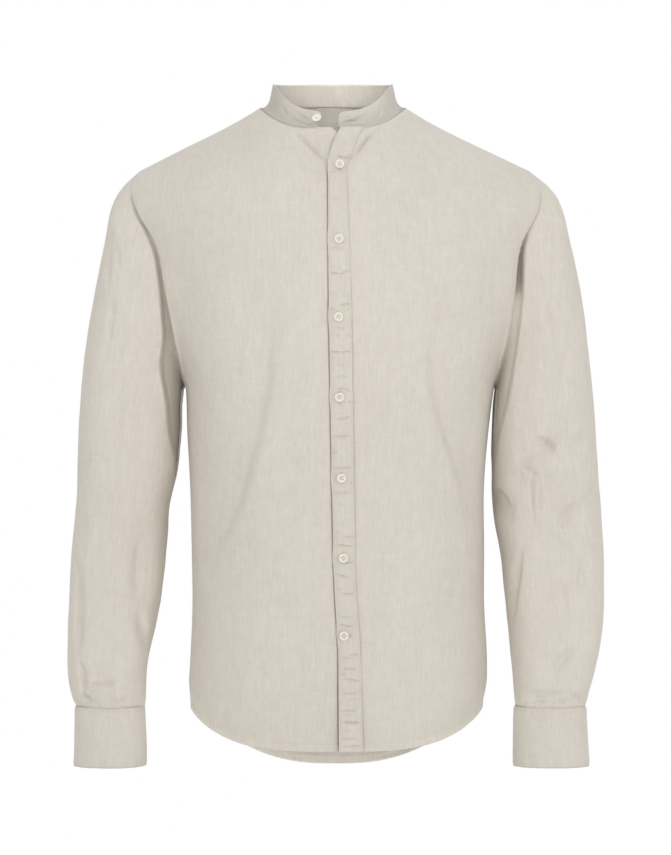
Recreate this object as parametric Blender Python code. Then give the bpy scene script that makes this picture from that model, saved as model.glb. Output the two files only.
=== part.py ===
"""Mandarin collar shirt with long sleeves, in the hollow form that it has when it is worn.

Metres, +Z up. The front faces -Y and the left sleeve of the shirt is at +X. The origin is the
middle of the neck, level with the seat of the collar, where the neck and shoulders hold it up.
Every panel is a thin wall whose outer face follows the functions below; what lies on a panel
is made from the panel's own points, moved out.
"""

import math

import bmesh
import bpy
import numpy as np
from mathutils import Vector

# Walls and gaps
CLOTH = 0.0014          # one layer of shirt cloth
BAND = 0.0022           # collar and cuffs: two layers and an interlining
SEAM = 0.0003           # gap between two pieces that are sewn together
SEAM_HALF = 0.00018     # each side's share of it
LAYER = CLOTH + 0.0018  # from the face of one layer to the face of the layer that lies on it

# Neck and shoulders
NECK_HALF = 0.083       # half the width of the neck opening, at the collar seam
NECK_SIDE_Z = 0.011     # height of the collar seam at the side of the neck
NECK_DROP = 0.031       # how far the collar seam falls from the side to the front
NECK_RISE = 0.0066      # and rises from the side to the back
SHOULDER_HALF = 0.224   # half the width across the shoulders, seam to seam
SHOULDER_Z = -0.062
SHOULDER_Y = 0.004
SHOULDER_SAG = 0.0052   # how far the shoulder line sags on its way out from the neck
NECK_SHARE = NECK_HALF / SHOULDER_HALF
RIDGE_SLOPE = (NECK_SIDE_Z - SHOULDER_Z + 4 * SHOULDER_SAG) / (SHOULDER_HALF - NECK_HALF)

# Armholes
PIT_Z = -0.310
ARM_MIDDLE_Z = (SHOULDER_Z + PIT_Z) / 2
ARM_HALF = (SHOULDER_Z - PIT_Z) / 2
ARM_FRONT_DEPTH = 0.070
ARM_BACK_DEPTH = 0.078
SIDE_BLEND = 0.26       # length over which the body's flat front and back round in to its sides

# Hem, a shirt tail that is longer at the back
HEM_SIDE_Z = -0.677
HEM_FRONT_DROP = 0.040
HEM_BACK_DROP = 0.079

# Front fastening
PLACKET_WIDTH = 0.0255
PLACKET_LIFT = CLOTH + 0.0004
BUTTON_RADIUS = 0.0053
BUTTON_THICKNESS = 0.0022
BUTTON_RIM = 0.0016
THREAD_HOLE_RADIUS = 0.00075
THREAD_HOLE_OUT = 0.0013
BUTTON_GAP = 0.0005
COLLAR_BUTTON_X = -0.0212

# Collar and cuffs
COLLAR_BACK_HEIGHT = 0.0285
COLLAR_FRONT_HEIGHT = 0.0235
COLLAR_LEAN = 0.0142    # how far the collar's top edge stands in from its seam
COLLAR_HOLLOW = 0.0024  # how far its height curves in between the two
CUFF_TOP_Z = -0.6725
CUFF_BOTTOM_Z = -0.7400
CUFF_OVERLAP = math.radians(34)
CUFF_OPENING = math.radians(300)    # at the back of the wrist, a little to the outside

# How finely the panels are divided
NECK_COLUMNS = 7
FRONT_NECK_COLUMNS = 5
SHOULDER_COLUMNS = 6
ARM_ROWS = 12
SKIRT_ROWS = 10
SLEEVE_STEPS = (2, 1, 1, 2, 4, 4, 4, 2, 2, 1, 1)   # rings between the rows of a sleeve's table
VENT_COLUMNS = (19, 22)                           # columns of a sleeve under its vent's strip
VENT_RINGS = 6

# One row for each level of the body: half its width, how far its middle stands to the left,
# and how far forward and back the cloth reaches at the middle.
TORSO_NAMES = ("drop", "half", "sway", "front", "back")
TORSO_ROWS = (
    (-0.020, 0.2240, -0.0030, -0.098, 0.082),
    (0.030, 0.2240, -0.0032, -0.108, 0.096),
    (0.062, 0.2240, -0.0012, -0.116, 0.104),
    (0.085, 0.2325, -0.0006, -0.121, 0.109),
    (0.110, 0.2290, 0.0000, -0.126, 0.114),
    (0.150, 0.2100, 0.0010, -0.132, 0.120),
    (0.200, 0.1990, 0.0020, -0.137, 0.124),
    (0.250, 0.1885, 0.0030, -0.140, 0.125),
    (0.310, 0.1775, 0.0035, -0.140, 0.122),
    (0.360, 0.1735, 0.0025, -0.137, 0.117),
    (0.420, 0.1690, 0.0018, -0.133, 0.112),
    (0.500, 0.1680, 0.0028, -0.130, 0.111),
    (0.560, 0.1676, 0.0032, -0.129, 0.114),
    (0.620, 0.1704, 0.0036, -0.129, 0.118),
    (0.680, 0.1720, 0.0014, -0.130, 0.121),
    (0.760, 0.1700, 0.0000, -0.130, 0.122),
)

# Where the edges of the two fronts lie: the placket's edge on top, and the button stand's edge
# under it. They part at the neck, which is left open.
EDGE_NAMES = ("drop", "placket", "stand")
EDGE_ROWS = (
    (0.0200, 0.0066, -0.0040),
    (0.0282, 0.0023, 0.0030),
    (0.0400, -0.0022, 0.0095),
    (0.0530, -0.0058, 0.0130),
    (0.0670, -0.0086, 0.0130),
    (0.0850, -0.0092, 0.0125),
    (0.1500, -0.0090, 0.0125),
    (0.3200, -0.0065, 0.0150),
    (0.4800, -0.0030, 0.0185),
    (0.5600, 0.0015, 0.0230),
    (0.7200, 0.0042, 0.0255),
)

# Soft folds of the body, each along a line from start to end: a trough where depth is below
# nought and a ridge where it is above.
FOLD_NAMES = ("face", "x0", "z0", "x1", "z1", "width", "depth")
TORSO_FOLDS = (
    ("front", -0.095, -0.215, -0.160, -0.490, 0.026, -0.0075),
    ("front", -0.060, -0.300, -0.118, -0.600, 0.030, 0.0045),
    ("front", 0.100, -0.215, 0.163, -0.440, 0.026, -0.0080),
    ("front", 0.070, -0.300, 0.125, -0.560, 0.030, 0.0045),
    ("front", -0.205, -0.150, -0.150, -0.270, 0.020, -0.0040),
    ("front", 0.205, -0.150, 0.155, -0.270, 0.020, -0.0040),
    ("back", -0.075, -0.200, -0.090, -0.640, 0.028, -0.0075),
    ("back", -0.028, -0.260, -0.035, -0.700, 0.026, 0.0050),
    ("back", 0.030, -0.230, 0.022, -0.660, 0.026, -0.0060),
    ("back", 0.080, -0.250, 0.094, -0.690, 0.030, 0.0065),
    ("back", 0.125, -0.230, 0.140, -0.560, 0.024, -0.0060),
    ("back", -0.120, -0.280, -0.140, -0.600, 0.024, 0.0045),
    ("back", -0.200, -0.130, -0.130, -0.230, 0.022, -0.0050),
    ("back", 0.200, -0.130, 0.130, -0.230, 0.022, -0.0050),
)

# The two fronts fall open at the neck along these lines, which are folds.
OPEN_LINES = ((-0.0455, -0.0235, -0.0095, -0.0620), (0.0185, -0.0580, 0.0455, -0.0220))
OPEN_SLOPE = 0.30
OPEN_SOFTNESS = 0.006

# One row for each section of a sleeve below the armhole seam: its inner and outer ends seen
# from the front, how far back its middle is, and half its depth.
SLEEVE_NAMES = ("in_x", "in_drop", "out_x", "out_drop", "mid_y", "depth")
SLEEVE_ROWS = {
    "right": (
        (0.1747, 0.3130, 0.2515, 0.0900, 0.003, 0.0710),
        (0.1752, 0.3200, 0.2642, 0.1400, 0.003, 0.0690),
        (0.1762, 0.3310, 0.2776, 0.2100, 0.003, 0.0680),
        (0.1767, 0.3560, 0.2887, 0.2900, 0.003, 0.0660),
        (0.1814, 0.4000, 0.2954, 0.3750, 0.006, 0.0630),
        (0.1917, 0.4500, 0.2995, 0.4500, 0.008, 0.0590),
        (0.1962, 0.5200, 0.3041, 0.5250, 0.000, 0.0560),
        (0.2066, 0.5850, 0.3055, 0.5950, -0.018, 0.0520),
        (0.2137, 0.6250, 0.3050, 0.6350, -0.032, 0.0470),
        (0.2156, 0.6560, 0.3006, 0.6580, -0.041, 0.0400),
        (0.2163, -CUFF_TOP_Z - SEAM, 0.2945, -CUFF_TOP_Z - SEAM, -0.045, 0.0335),
    ),
    "left": (
        (0.1816, 0.3130, 0.2515, 0.0900, 0.003, 0.0710),
        (0.1806, 0.3200, 0.2680, 0.1400, 0.003, 0.0690),
        (0.1797, 0.3310, 0.2822, 0.2100, 0.003, 0.0680),
        (0.1798, 0.3560, 0.2922, 0.2900, 0.003, 0.0660),
        (0.1800, 0.4000, 0.2993, 0.3750, 0.006, 0.0630),
        (0.1813, 0.4500, 0.3046, 0.4500, 0.008, 0.0600),
        (0.1915, 0.5150, 0.3076, 0.5200, 0.000, 0.0570),
        (0.1975, 0.5850, 0.3048, 0.5850, -0.018, 0.0520),
        (0.2011, 0.6250, 0.2956, 0.6300, -0.032, 0.0470),
        (0.2029, 0.6560, 0.2881, 0.6560, -0.041, 0.0400),
        (0.2042, -CUFF_TOP_Z - SEAM, 0.2835, -CUFF_TOP_Z - SEAM, -0.045, 0.0335),
    ),
}
CUFF_NAMES = ("top_in", "top_out", "foot_in", "foot_out", "top_y", "foot_y", "depth")
CUFF_ROWS = {
    "right": (0.2150, 0.2957, 0.2148, 0.2957, -0.045, -0.051, 0.0345),
    "left": (0.2026, 0.2850, 0.2012, 0.2867, -0.045, -0.051, 0.0345),
}

# Creases of a sleeve: angles are round the sleeve, 0 on its outer side, 90 at the front.
CREASE_NAMES = ("sleeve", "angle0", "z0", "angle1", "z1", "width", "depth")
SLEEVE_CREASES = (
    ("left", 60, -0.372, 125, -0.392, 0.009, -0.0065),
    ("left", 70, -0.396, 118, -0.406, 0.011, 0.0060),
    ("left", 28, -0.432, 85, -0.474, 0.011, -0.0050),
    ("left", 40, -0.458, 80, -0.492, 0.012, 0.0040),
    ("left", 125, -0.452, 175, -0.438, 0.009, -0.0050),
    ("left", 100, -0.190, 118, -0.330, 0.014, -0.0050),
    ("left", 96, -0.470, 108, -0.600, 0.012, -0.0035),
    ("left", 60, -0.640, 118, -0.628, 0.010, -0.0040),
    ("left", 250, -0.400, 310, -0.425, 0.012, -0.0055),
    ("left", 235, -0.450, 290, -0.470, 0.013, -0.0045),
    ("left", 262, -0.200, 250, -0.340, 0.016, -0.0050),
    ("right", 100, -0.200, 122, -0.350, 0.014, -0.0050),
    ("right", 118, -0.440, 125, -0.600, 0.012, -0.0045),
    ("right", 48, -0.250, 55, -0.400, 0.016, 0.0030),
    ("right", 50, -0.641, 120, -0.634, 0.008, -0.0045),
    ("right", 55, -0.655, 105, -0.652, 0.007, 0.0030),
    ("right", 245, -0.395, 305, -0.420, 0.012, -0.0055),
    ("right", 240, -0.455, 295, -0.470, 0.013, -0.0045),
    ("right", 262, -0.200, 250, -0.340, 0.016, -0.0050),
)

# Buttons of the front: how far each is below the origin, and its distance from the middle
BUTTON_NAMES = ("drop", "x")
BUTTON_ROWS = (
    (0.0651, 0.0040),
    (0.1484, 0.0038),
    (0.2350, 0.0034),
    (0.3234, 0.0045),
    (0.4129, 0.0067),
    (0.5016, 0.0088),
    (0.5880, 0.0094),
)

# Columns of a front beside its middle edge, as distances from the edge
PLACKET_COLUMNS = (0.0, PLACKET_WIDTH / 2, PLACKET_WIDTH)
STAND_COLUMNS = (0.0, 0.0125, 0.0265, 0.0425)

LINEN = (0.70, 0.66, 0.59)
SHELL = (0.86, 0.84, 0.78)


def named(names, rows):
    """A table as a dictionary with one array for each named column."""
    return {name: np.array([row[i] for row in rows]) for i, name in enumerate(names)}


def smooth_at(at, places, values):
    """The smooth curve through a column of a table, at one place."""
    at = min(max(at, places[0]), places[-1])
    i = min(max(int(np.searchsorted(places, at)) - 1, 0), len(places) - 2)
    slopes = np.gradient(values, places)
    span = places[i + 1] - places[i]
    t = (at - places[i]) / span
    start = (1 + 2 * t) * (1 - t) ** 2 * values[i] + t * (1 - t) ** 2 * span * slopes[i]
    end = t * t * (3 - 2 * t) * values[i + 1] - t * t * (1 - t) * span * slopes[i + 1]
    return float(start + end)


def ease(t):
    """0 below 0 and 1 above 1, with a smooth step between."""
    t = min(max(t, 0.0), 1.0)
    return t * t * (3 - 2 * t)


def mix(a, b, t):
    return a + (b - a) * t


TORSO = named(TORSO_NAMES, TORSO_ROWS)
EDGES = named(EDGE_NAMES, EDGE_ROWS)


def torso(column, z):
    return smooth_at(-z, TORSO["drop"], TORSO[column])


def ridge_of_fold(a, b, a0, b0, a1, b1, width):
    """1 on the line of a fold, falling off softly to its sides and towards its ends."""
    along_a, along_b = a1 - a0, b1 - b0
    length = math.hypot(along_a, along_b)
    t = ((a - a0) * along_a + (b - b0) * along_b) / length**2
    away = ((a - a0) * along_b - (b - b0) * along_a) / length
    ends = math.sin(math.pi * min(max(t, 0.0), 1.0)) ** 0.8
    return ends * math.exp(-0.5 * (away / width) ** 2)


def ridge_z(face, u):
    """Height of the line where front and back meet on top of the body. u is the share of the
    way out from the middle to the shoulder's end, below nought on the right. The line goes on
    over the neck, where the opening takes it away."""
    out = abs(u) * SHOULDER_HALF
    if out < NECK_HALF:
        inside = NECK_HALF**2 - out**2
        bulge = 289.0 * inside**2 if face == "back" else 0.0
        return NECK_SIDE_Z + RIDGE_SLOPE / (2 * NECK_HALF) * inside + bulge
    share = (out - NECK_HALF) / (SHOULDER_HALF - NECK_HALF)
    sag = SHOULDER_SAG * 4 * share * max(1 - share, 0.0) ** 2.2
    return mix(NECK_SIDE_Z, SHOULDER_Z, share) - sag


def top_z(face, u):
    """Height of a panel's upper edge: the neck seam, then the shoulder seam."""
    across = abs(u) / NECK_SHARE
    if across >= 1:
        return ridge_z(face, u)
    if face == "front":
        return NECK_SIDE_Z - NECK_DROP * (1 - across**3.3)
    return NECK_SIDE_Z + NECK_RISE * (1 - across**2)


def hem_z(face, u):
    drop, power = (HEM_FRONT_DROP, 3.8) if face == "front" else (HEM_BACK_DROP, 2.6)
    return HEM_SIDE_Z - drop * (1 - min(abs(u), 1.0) ** power)


def fall_open(x, z):
    """How far the front falls forward beside the open neck."""
    inside = []
    for x0, z0, x1, z1 in OPEN_LINES:
        length = math.hypot(x1 - x0, z1 - z0)
        inside.append(((x - x0) * (z0 - z1) + (z - z0) * (x1 - x0)) / length)
    past = min(inside)
    return OPEN_SLOPE * past * ease(past / OPEN_SOFTNESS) if past > 0 else 0.0


def torso_base(face, u, z):
    """A point of the body's smooth outer face, before its folds."""
    sign = -1 if face == "front" else 1
    out = min(abs(u), 1.0)
    arm_depth = ARM_FRONT_DEPTH if face == "front" else ARM_BACK_DEPTH
    below = min(max((ARM_MIDDLE_Z - z) / ARM_HALF, 0.0), 1.0)
    rounder = ease((ARM_MIDDLE_Z - z) / SIDE_BLEND)
    at_seam = arm_depth * math.sqrt(1 - below**2)
    side_y = SHOULDER_Y + sign * mix(arm_depth * (1 - rounder), at_seam, out**9)
    power = mix(3.0, 2.4, rounder)
    flat = (1 - out**power) ** (1 / mix(1.0, power, rounder))
    full_y = side_y + (torso(face, z) - side_y) * flat
    q = min(max(ridge_z(face, u) - z, 0.0) / mix(0.120, ARM_HALF, out), 1.0)
    middle_power = 1.1 if face == "front" else 2.0
    rounding = (1 - (1 - q) ** 2) ** (1 / mix(middle_power, 2.0, out))
    ridge_y = SHOULDER_Y * out**2
    x = torso("sway", z) + u * torso("half", z)
    y = ridge_y + (full_y - ridge_y) * rounding
    if face == "front":
        y -= fall_open(x, z)
    return np.array((x, y, z))


def torso_normal(face, u, z):
    """Outward direction of the smooth body."""
    step = 0.002
    high = min(z + step, top_z(face, u))
    down = torso_base(face, u, high - 2 * step) - torso_base(face, u, high)
    across = torso_base(face, u + step, z) - torso_base(face, u - step, z)
    out = np.cross(across, down) * (1 if face == "back" else -1)
    return out / np.linalg.norm(out) * (1 if out[1] * (1 if face == "back" else -1) > 0 else -1)


def torso_point(face, u, z, lift=0.0):
    """A point of the body's outer face with its folds, moved out by lift."""
    point = torso_base(face, u, z)
    push = lift
    calm = ease((1 - abs(u)) / 0.12)
    for fold in TORSO_FOLDS:
        row = dict(zip(FOLD_NAMES, fold))
        if row["face"] == face:
            line = (row["x0"], row["z0"], row["x1"], row["z1"])
            push += calm * row["depth"] * ridge_of_fold(point[0], point[2], *line, row["width"])
    return point + push * torso_normal(face, min(max(u, -0.995), 0.995), z) if push else point


def share_at_edge(column, z):
    """The share across the body at which a front's middle edge lies."""
    x = smooth_at(-z, EDGES["drop"], EDGES[column])
    return (x - torso("sway", z)) / torso("half", z)


def column_shares(start, side, count):
    """Shares across for the columns of a panel from start out to its side: even round the neck,
    then even along the shoulder."""
    first = math.asin(start / NECK_SHARE)
    turns = [mix(first, side * math.pi / 2, i / count) for i in range(count)]
    shoulder = [mix(NECK_SHARE, 1.0, i / SHOULDER_COLUMNS) for i in range(SHOULDER_COLUMNS + 1)]
    return [NECK_SHARE * math.sin(turn) for turn in turns] + [side * share for share in shoulder]


def front_columns(side):
    """Columns of a front from its middle edge out to its own side, at any height."""
    edge, offsets = ("placket", PLACKET_COLUMNS) if side > 0 else ("stand", STAND_COLUMNS)

    def at(z):
        start = share_at_edge(edge, z)
        beside = [start + side * offset / torso("half", z) for offset in offsets]
        return beside[:-1] + column_shares(beside[-1], side, FRONT_NECK_COLUMNS)
    return at


def back_columns():
    half = column_shares(0.0, 1, NECK_COLUMNS)
    return [-share for share in reversed(half)] + half[1:]


def row_heights(top, hem):
    """Heights of the rows of one column: close together at the shoulder and at the armpit."""
    arm = [mix(top, PIT_Z, (1 - math.cos(math.pi * i / ARM_ROWS)) / 2) for i in range(ARM_ROWS)]
    return arm + [mix(PIT_Z, hem, i / SKIRT_ROWS) for i in range(SKIRT_ROWS + 1)]


def arm_centre(side):
    x = (torso("half", SHOULDER_Z) + torso("half", PIT_Z)) / 2 * side + torso("sway", PIT_Z)
    return np.array((x, SHOULDER_Y, ARM_MIDDLE_Z))


def arm_outward(side):
    """Direction square to the armhole, out along the sleeve."""
    out = np.array((ARM_HALF * 2, 0, -(torso("half", SHOULDER_Z) - torso("half", PIT_Z))))
    out[0] *= side
    return out / np.linalg.norm(out)


def outward_normals(points, closed=False):
    """Directions square to a grid of points, away from the middle of each of its rows."""
    down = np.gradient(points, axis=0)
    if closed:
        across = np.roll(points, -1, axis=1) - np.roll(points, 1, axis=1)
    else:
        across = np.gradient(points, axis=1)
    normals = np.cross(across, down)
    normals /= np.linalg.norm(normals, axis=2, keepdims=True)
    middle = points.mean(axis=1, keepdims=True) * ((1, 1, 1) if closed else (1, 0, 1))
    return normals * np.sign(((points - middle) * normals).sum())


def cloth_material(name, colour, roughness):
    material = bpy.data.materials.new(name)
    material.use_nodes = True
    shader = material.node_tree.nodes["Principled BSDF"]
    shader.inputs["Base Color"].default_value = (*colour, 1.0)
    shader.inputs["Roughness"].default_value = roughness
    shader.inputs["Metallic"].default_value = 0.0
    return material


def cloth_wall(name, points, inward, thickness, closed=False):
    """One closed solid: a sheet through a grid of points, with a second skin further in."""
    rows, columns = points.shape[:2]
    if closed:
        points = np.concatenate((points, points[:, :1]), axis=1)
        inward = np.concatenate((inward, inward[:, :1]), axis=1)
        columns += 1
    bm = bmesh.new()
    bmesh.ops.create_grid(bm, x_segments=columns - 1, y_segments=rows - 1, size=1)
    step = bm.verts.layers.float_vector.new("step")
    flat_points = points.reshape(-1, 3)
    flat_steps = inward.reshape(-1, 3) * thickness
    bm.verts.ensure_lookup_table()
    for vert, place, move in zip(bm.verts, flat_points, flat_steps):
        vert.co = Vector(place)
        vert[step] = Vector(move)
    bmesh.ops.triangulate(bm, faces=bm.faces, quad_method="FIXED")
    if closed:
        bmesh.ops.remove_doubles(bm, verts=bm.verts, dist=1e-6)
    made = bmesh.ops.extrude_face_region(bm, geom=bm.faces[:], use_keep_orig=True)
    for item in made["geom"]:
        if isinstance(item, bmesh.types.BMVert):
            item.co += item[step]
    bmesh.ops.recalc_face_normals(bm, faces=bm.faces)
    return as_object(name, bm, cloth_material(name, LINEN, 0.9))


def as_object(name, bm, material):
    mesh = bpy.data.meshes.new(name)
    bm.to_mesh(mesh)
    bm.free()
    mesh.materials.append(material)
    mesh.shade_smooth()
    mesh.set_sharp_from_angle(angle=math.radians(50))
    made = bpy.data.objects.new(name, mesh)
    bpy.context.scene.collection.objects.link(made)
    return made


def towards_arm_centre(points, side):
    """Directions from points on the armhole towards its middle, in the armhole's own plane."""
    inward = arm_centre(side) - points
    inward -= np.outer(inward @ arm_outward(side), arm_outward(side))
    return inward / np.linalg.norm(inward, axis=1, keepdims=True)


def without_y(directions):
    flat = directions * (1, 0, 1)
    return flat / np.linalg.norm(flat, axis=-1, keepdims=True)


def level_direction(directions):
    level = directions * (1, 1, 0)
    return level / np.linalg.norm(level, axis=-1, keepdims=True)


def column_top(face, columns_at, j):
    """Height at which one column of a panel meets its upper edge."""
    top = NECK_SIDE_Z
    for _ in range(20):
        top = top_z(face, columns_at(top)[j])
    return top


def panel_points(face, columns_at, lower=None):
    """Points of a front or the back. columns_at(z) gives the shares across of its columns;
    lower(x, z) says how far the panel dips under what lies over it."""
    count = len(columns_at(PIT_Z))
    points = np.zeros((ARM_ROWS + SKIRT_ROWS + 1, count, 3))
    for j in range(count):
        hem = hem_z(face, columns_at(HEM_SIDE_Z)[j])
        for i, z in enumerate(row_heights(column_top(face, columns_at, j), hem)):
            u = columns_at(z)[j]
            points[i, j] = torso_point(face, u, z, -lower(u, z) if lower else 0.0)
    return points


def panel(name, face, columns_at, lower=None):
    """A front or the back, with a seam's gap at its shoulders, armholes and sides."""
    sign = -1 if face == "front" else 1
    points = panel_points(face, columns_at, lower)
    inward = -outward_normals(points)
    for j, u in enumerate(columns_at(NECK_SIDE_Z)):
        if abs(u) > 0.999:
            side = 1 if u > 0 else -1
            armhole = slice(0, ARM_ROWS + 1)
            across_seam = np.maximum(inward[armhole, j] @ arm_outward(side), 0)
            inward[armhole, j] -= np.outer(across_seam, arm_outward(side))
            inward[0, j] = without_y(inward[0, j])
            inward[ARM_ROWS:, j] = without_y(inward[ARM_ROWS:, j])
            points[armhole, j] -= arm_outward(side) * SEAM_HALF
            points[:, j, 1] += sign * SEAM_HALF
        elif abs(u) > NECK_SHARE - 1e-6:
            inward[0, j] = without_y(inward[0, j])
            points[0, j, 1] += sign * SEAM_HALF
    return cloth_wall(name, points, inward, CLOTH)


def under_placket(u, z):
    """The right front runs under the left one, a layer further in, all but its top corner."""
    x = u * torso("half", z) + torso("sway", z)
    beside = smooth_at(-z, EDGES["drop"], EDGES["stand"]) - x
    share = 1 - (beside - STAND_COLUMNS[2]) / (STAND_COLUMNS[3] - STAND_COLUMNS[2])
    return LAYER * min(max(share, 0.0), 1.0) * ease((-z - 0.0202) / 0.0042)


def make_placket():
    """The band sewn along the left front's edge, a layer out from the front's own points."""
    under = panel_points("front", front_columns(1))
    points = under + outward_normals(under) * PLACKET_LIFT
    points = points[:, :3]
    points[0] = mix(points[0], points[1], 0.25)
    inward = -outward_normals(under)[:, :3]
    return cloth_wall("placket", points, inward, CLOTH)


def collar_point(face, u, share_up):
    """A point of the collar's outer face, share_up of the way from its seam to its top edge."""
    side = max(-1.0, min(1.0, u / NECK_SHARE))
    turn = math.sqrt(1 - side**2)
    sign = -1 if face == "front" else 1
    height = mix(COLLAR_BACK_HEIGHT, COLLAR_FRONT_HEIGHT, turn) if face == "front" else COLLAR_BACK_HEIGHT
    lean = COLLAR_LEAN * np.array((-side, -sign * turn, 0))
    rise = math.sqrt(height**2 - lean @ lean) * share_up + SEAM * 1.4
    hollow = COLLAR_HOLLOW * side**2 * math.sin(math.pi * share_up)
    bulge = np.array((-side, -sign * turn, 0)) * hollow
    return torso_point(face, u, top_z(face, u)) + lean * share_up + bulge + np.array((0, 0, rise))


def make_collar():
    """The band that stands round the neck, open at the front. It is sewn to every column of the
    panels round the neck, but for the corner of the button stand."""
    def neck_shares(face, columns_at):
        tops = [column_top(face, columns_at, j) for j in range(len(columns_at(0)))]
        shares = [columns_at(top)[j] for j, top in enumerate(tops)]
        return [share for share in shares if abs(share) < NECK_SHARE + 1e-6]
    stops = [("front", u) for u in neck_shares("front", front_columns(-1))[1:-1]]
    stops += [("back", u) for u in neck_shares("back", lambda z: back_columns())]
    stops += [("front", u) for u in neck_shares("front", front_columns(1))[-2::-1]]
    points = np.array([[collar_point(face, u, level) for face, u in stops]
                       for level in (1.0, 0.67, 0.34, 0.0)])
    for end, inner in ((0, 1), (-1, -2)):
        points[0, end] = mix(points[0, end], points[1, inner], 0.45)
    inward = -outward_normals(points)
    inward[-1] = level_direction(inward[-1])
    return cloth_wall("collar", points, inward, BAND)


def sleeve_sections(side_name):
    """Sections from the armhole down, each a dictionary of the table's columns."""
    side = 1 if side_name == "left" else -1
    half_pit, half_top = torso("half", PIT_Z), torso("half", SHOULDER_Z)
    sway_pit, sway_top = torso("sway", PIT_Z) * side, torso("sway", SHOULDER_Z) * side
    first = (half_pit + sway_pit, -PIT_Z, half_top + sway_top, -SHOULDER_Z, SHOULDER_Y, ARM_FRONT_DEPTH)
    return named(SLEEVE_NAMES, (first, *SLEEVE_ROWS[side_name]))


def sleeve_base(side_name, table, along, angle):
    """A point of a sleeve: along counts the table's rows, angle goes round from the outer side
    to the front."""
    side = 1 if side_name == "left" else -1
    places = np.arange(len(table["in_x"]), dtype=float)
    row = {name: smooth_at(along, places, table[name]) for name in SLEEVE_NAMES}
    out = (1 + math.cos(angle)) / 2
    x = mix(row["in_x"], row["out_x"], out) * side
    z = -mix(row["in_drop"], row["out_drop"], out)
    y = row["mid_y"] - row["depth"] * math.sin(angle)
    return np.array((x, y, z))


def armhole_point(side, angle):
    face = "front" if math.sin(angle) > 0 else "back"
    return torso_point(face, side, ARM_MIDDLE_Z + ARM_HALF * math.cos(angle))


def sleeve_point(side_name, table, along, angle):
    """A point of a sleeve's outer face: the armhole's own curve at the top, creases below."""
    side = 1 if side_name == "left" else -1
    point = sleeve_base(side_name, table, along, angle)
    fade = 1 - ease(along / 3.2)
    if fade:
        point = point + fade * (armhole_point(side, angle) - sleeve_base(side_name, table, 0, angle))
    centre = (sleeve_base(side_name, table, along, 0) + sleeve_base(side_name, table, along, math.pi)) / 2
    out = point - centre
    radius = np.linalg.norm(out)
    push = 0.0
    for crease in SLEEVE_CREASES:
        row = dict(zip(CREASE_NAMES, crease))
        if row["sleeve"] == side_name:
            turn = (math.degrees(angle) - row["angle0"] + 180) % 360 - 180
            line = (0.0, row["z0"], math.radians(row["angle1"] - row["angle0"]) * radius, row["z1"])
            place = (math.radians(turn) * radius, point[2])
            push += row["depth"] * ridge_of_fold(*place, *line, row["width"])
    calm = ease(along / 1.5) * ease((len(table["in_x"]) - 1 - along) / 0.6)
    return point + out / radius * push * calm


def sleeve_points(side_name):
    """Rings of points from the armhole seam down to the cuff."""
    table = sleeve_sections(side_name)
    places = [row + i / steps for row, steps in enumerate(SLEEVE_STEPS) for i in range(steps)]
    angles = [math.pi * j / ARM_ROWS for j in range(2 * ARM_ROWS)]
    return np.array([[sleeve_point(side_name, table, along, angle) for angle in angles]
                     for along in places + [len(SLEEVE_STEPS)]])


def make_sleeve(side_name):
    """A one-piece sleeve, a tube from the armhole seam to the cuff."""
    side = 1 if side_name == "left" else -1
    points = sleeve_points(side_name)
    inward = -outward_normals(points, closed=True)
    inward[0] = towards_arm_centre(points[0], side)
    inward[-1] = level_direction(inward[-1])
    points[0] += arm_outward(side) * SEAM_HALF
    cloth_wall("sleeve_" + side_name, points, inward, CLOTH, closed=True)


def make_vent(side_name):
    """The strip that finishes the slit above the cuff's opening, made from the sleeve's own
    points moved out."""
    under = sleeve_points(side_name)
    out = outward_normals(under, closed=True)
    out[-1] = level_direction(out[-1])
    taken = slice(-VENT_RINGS, None), slice(*VENT_COLUMNS)
    points = under[taken] + out[taken] * PLACKET_LIFT
    cloth_wall("sleeve_placket_" + side_name, points, -out[taken], CLOTH)


def cuff_point(side_name, angle, share_down, lift=0.0):
    """A point of a cuff's outer face, moved out by lift."""
    side = 1 if side_name == "left" else -1
    row = dict(zip(CUFF_NAMES, CUFF_ROWS[side_name]))
    inner = mix(row["top_in"], row["foot_in"], share_down)
    outer = mix(row["top_out"], row["foot_out"], share_down)
    middle, half = (inner + outer) / 2, (outer - inner) / 2 + lift
    depth = row["depth"] + lift
    squareness = 2.35
    bend = (abs(math.cos(angle)) ** squareness + abs(math.sin(angle)) ** squareness) ** (-1 / squareness)
    x = (middle + half * math.cos(angle) * bend) * side
    y = mix(row["top_y"], row["foot_y"], share_down) - depth * math.sin(angle) * bend
    return np.array((x, y, mix(CUFF_TOP_Z, CUFF_BOTTOM_Z, share_down)))


def make_cuff(side_name):
    """A band round the wrist whose end laps over its start."""
    steps = 30
    start = CUFF_OPENING - CUFF_OVERLAP / 2
    sweep = 2 * math.pi + CUFF_OVERLAP
    rows = []
    for level in (0.0, 0.5, 1.0):
        row = []
        for j in range(steps + 1):
            turned = sweep * j / steps
            over = (BAND + 0.0004) * ease((turned - 2 * math.pi + math.radians(50)) / math.radians(46))
            row.append(cuff_point(side_name, start + turned, level, over))
        rows.append(row)
    points = np.array(rows)
    across = np.gradient(points, axis=1)
    inward = level_direction(np.cross(across, (0, 0, 1 if side_name == "left" else -1)))
    return cloth_wall("cuff_" + side_name, points, inward, BAND)


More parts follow.
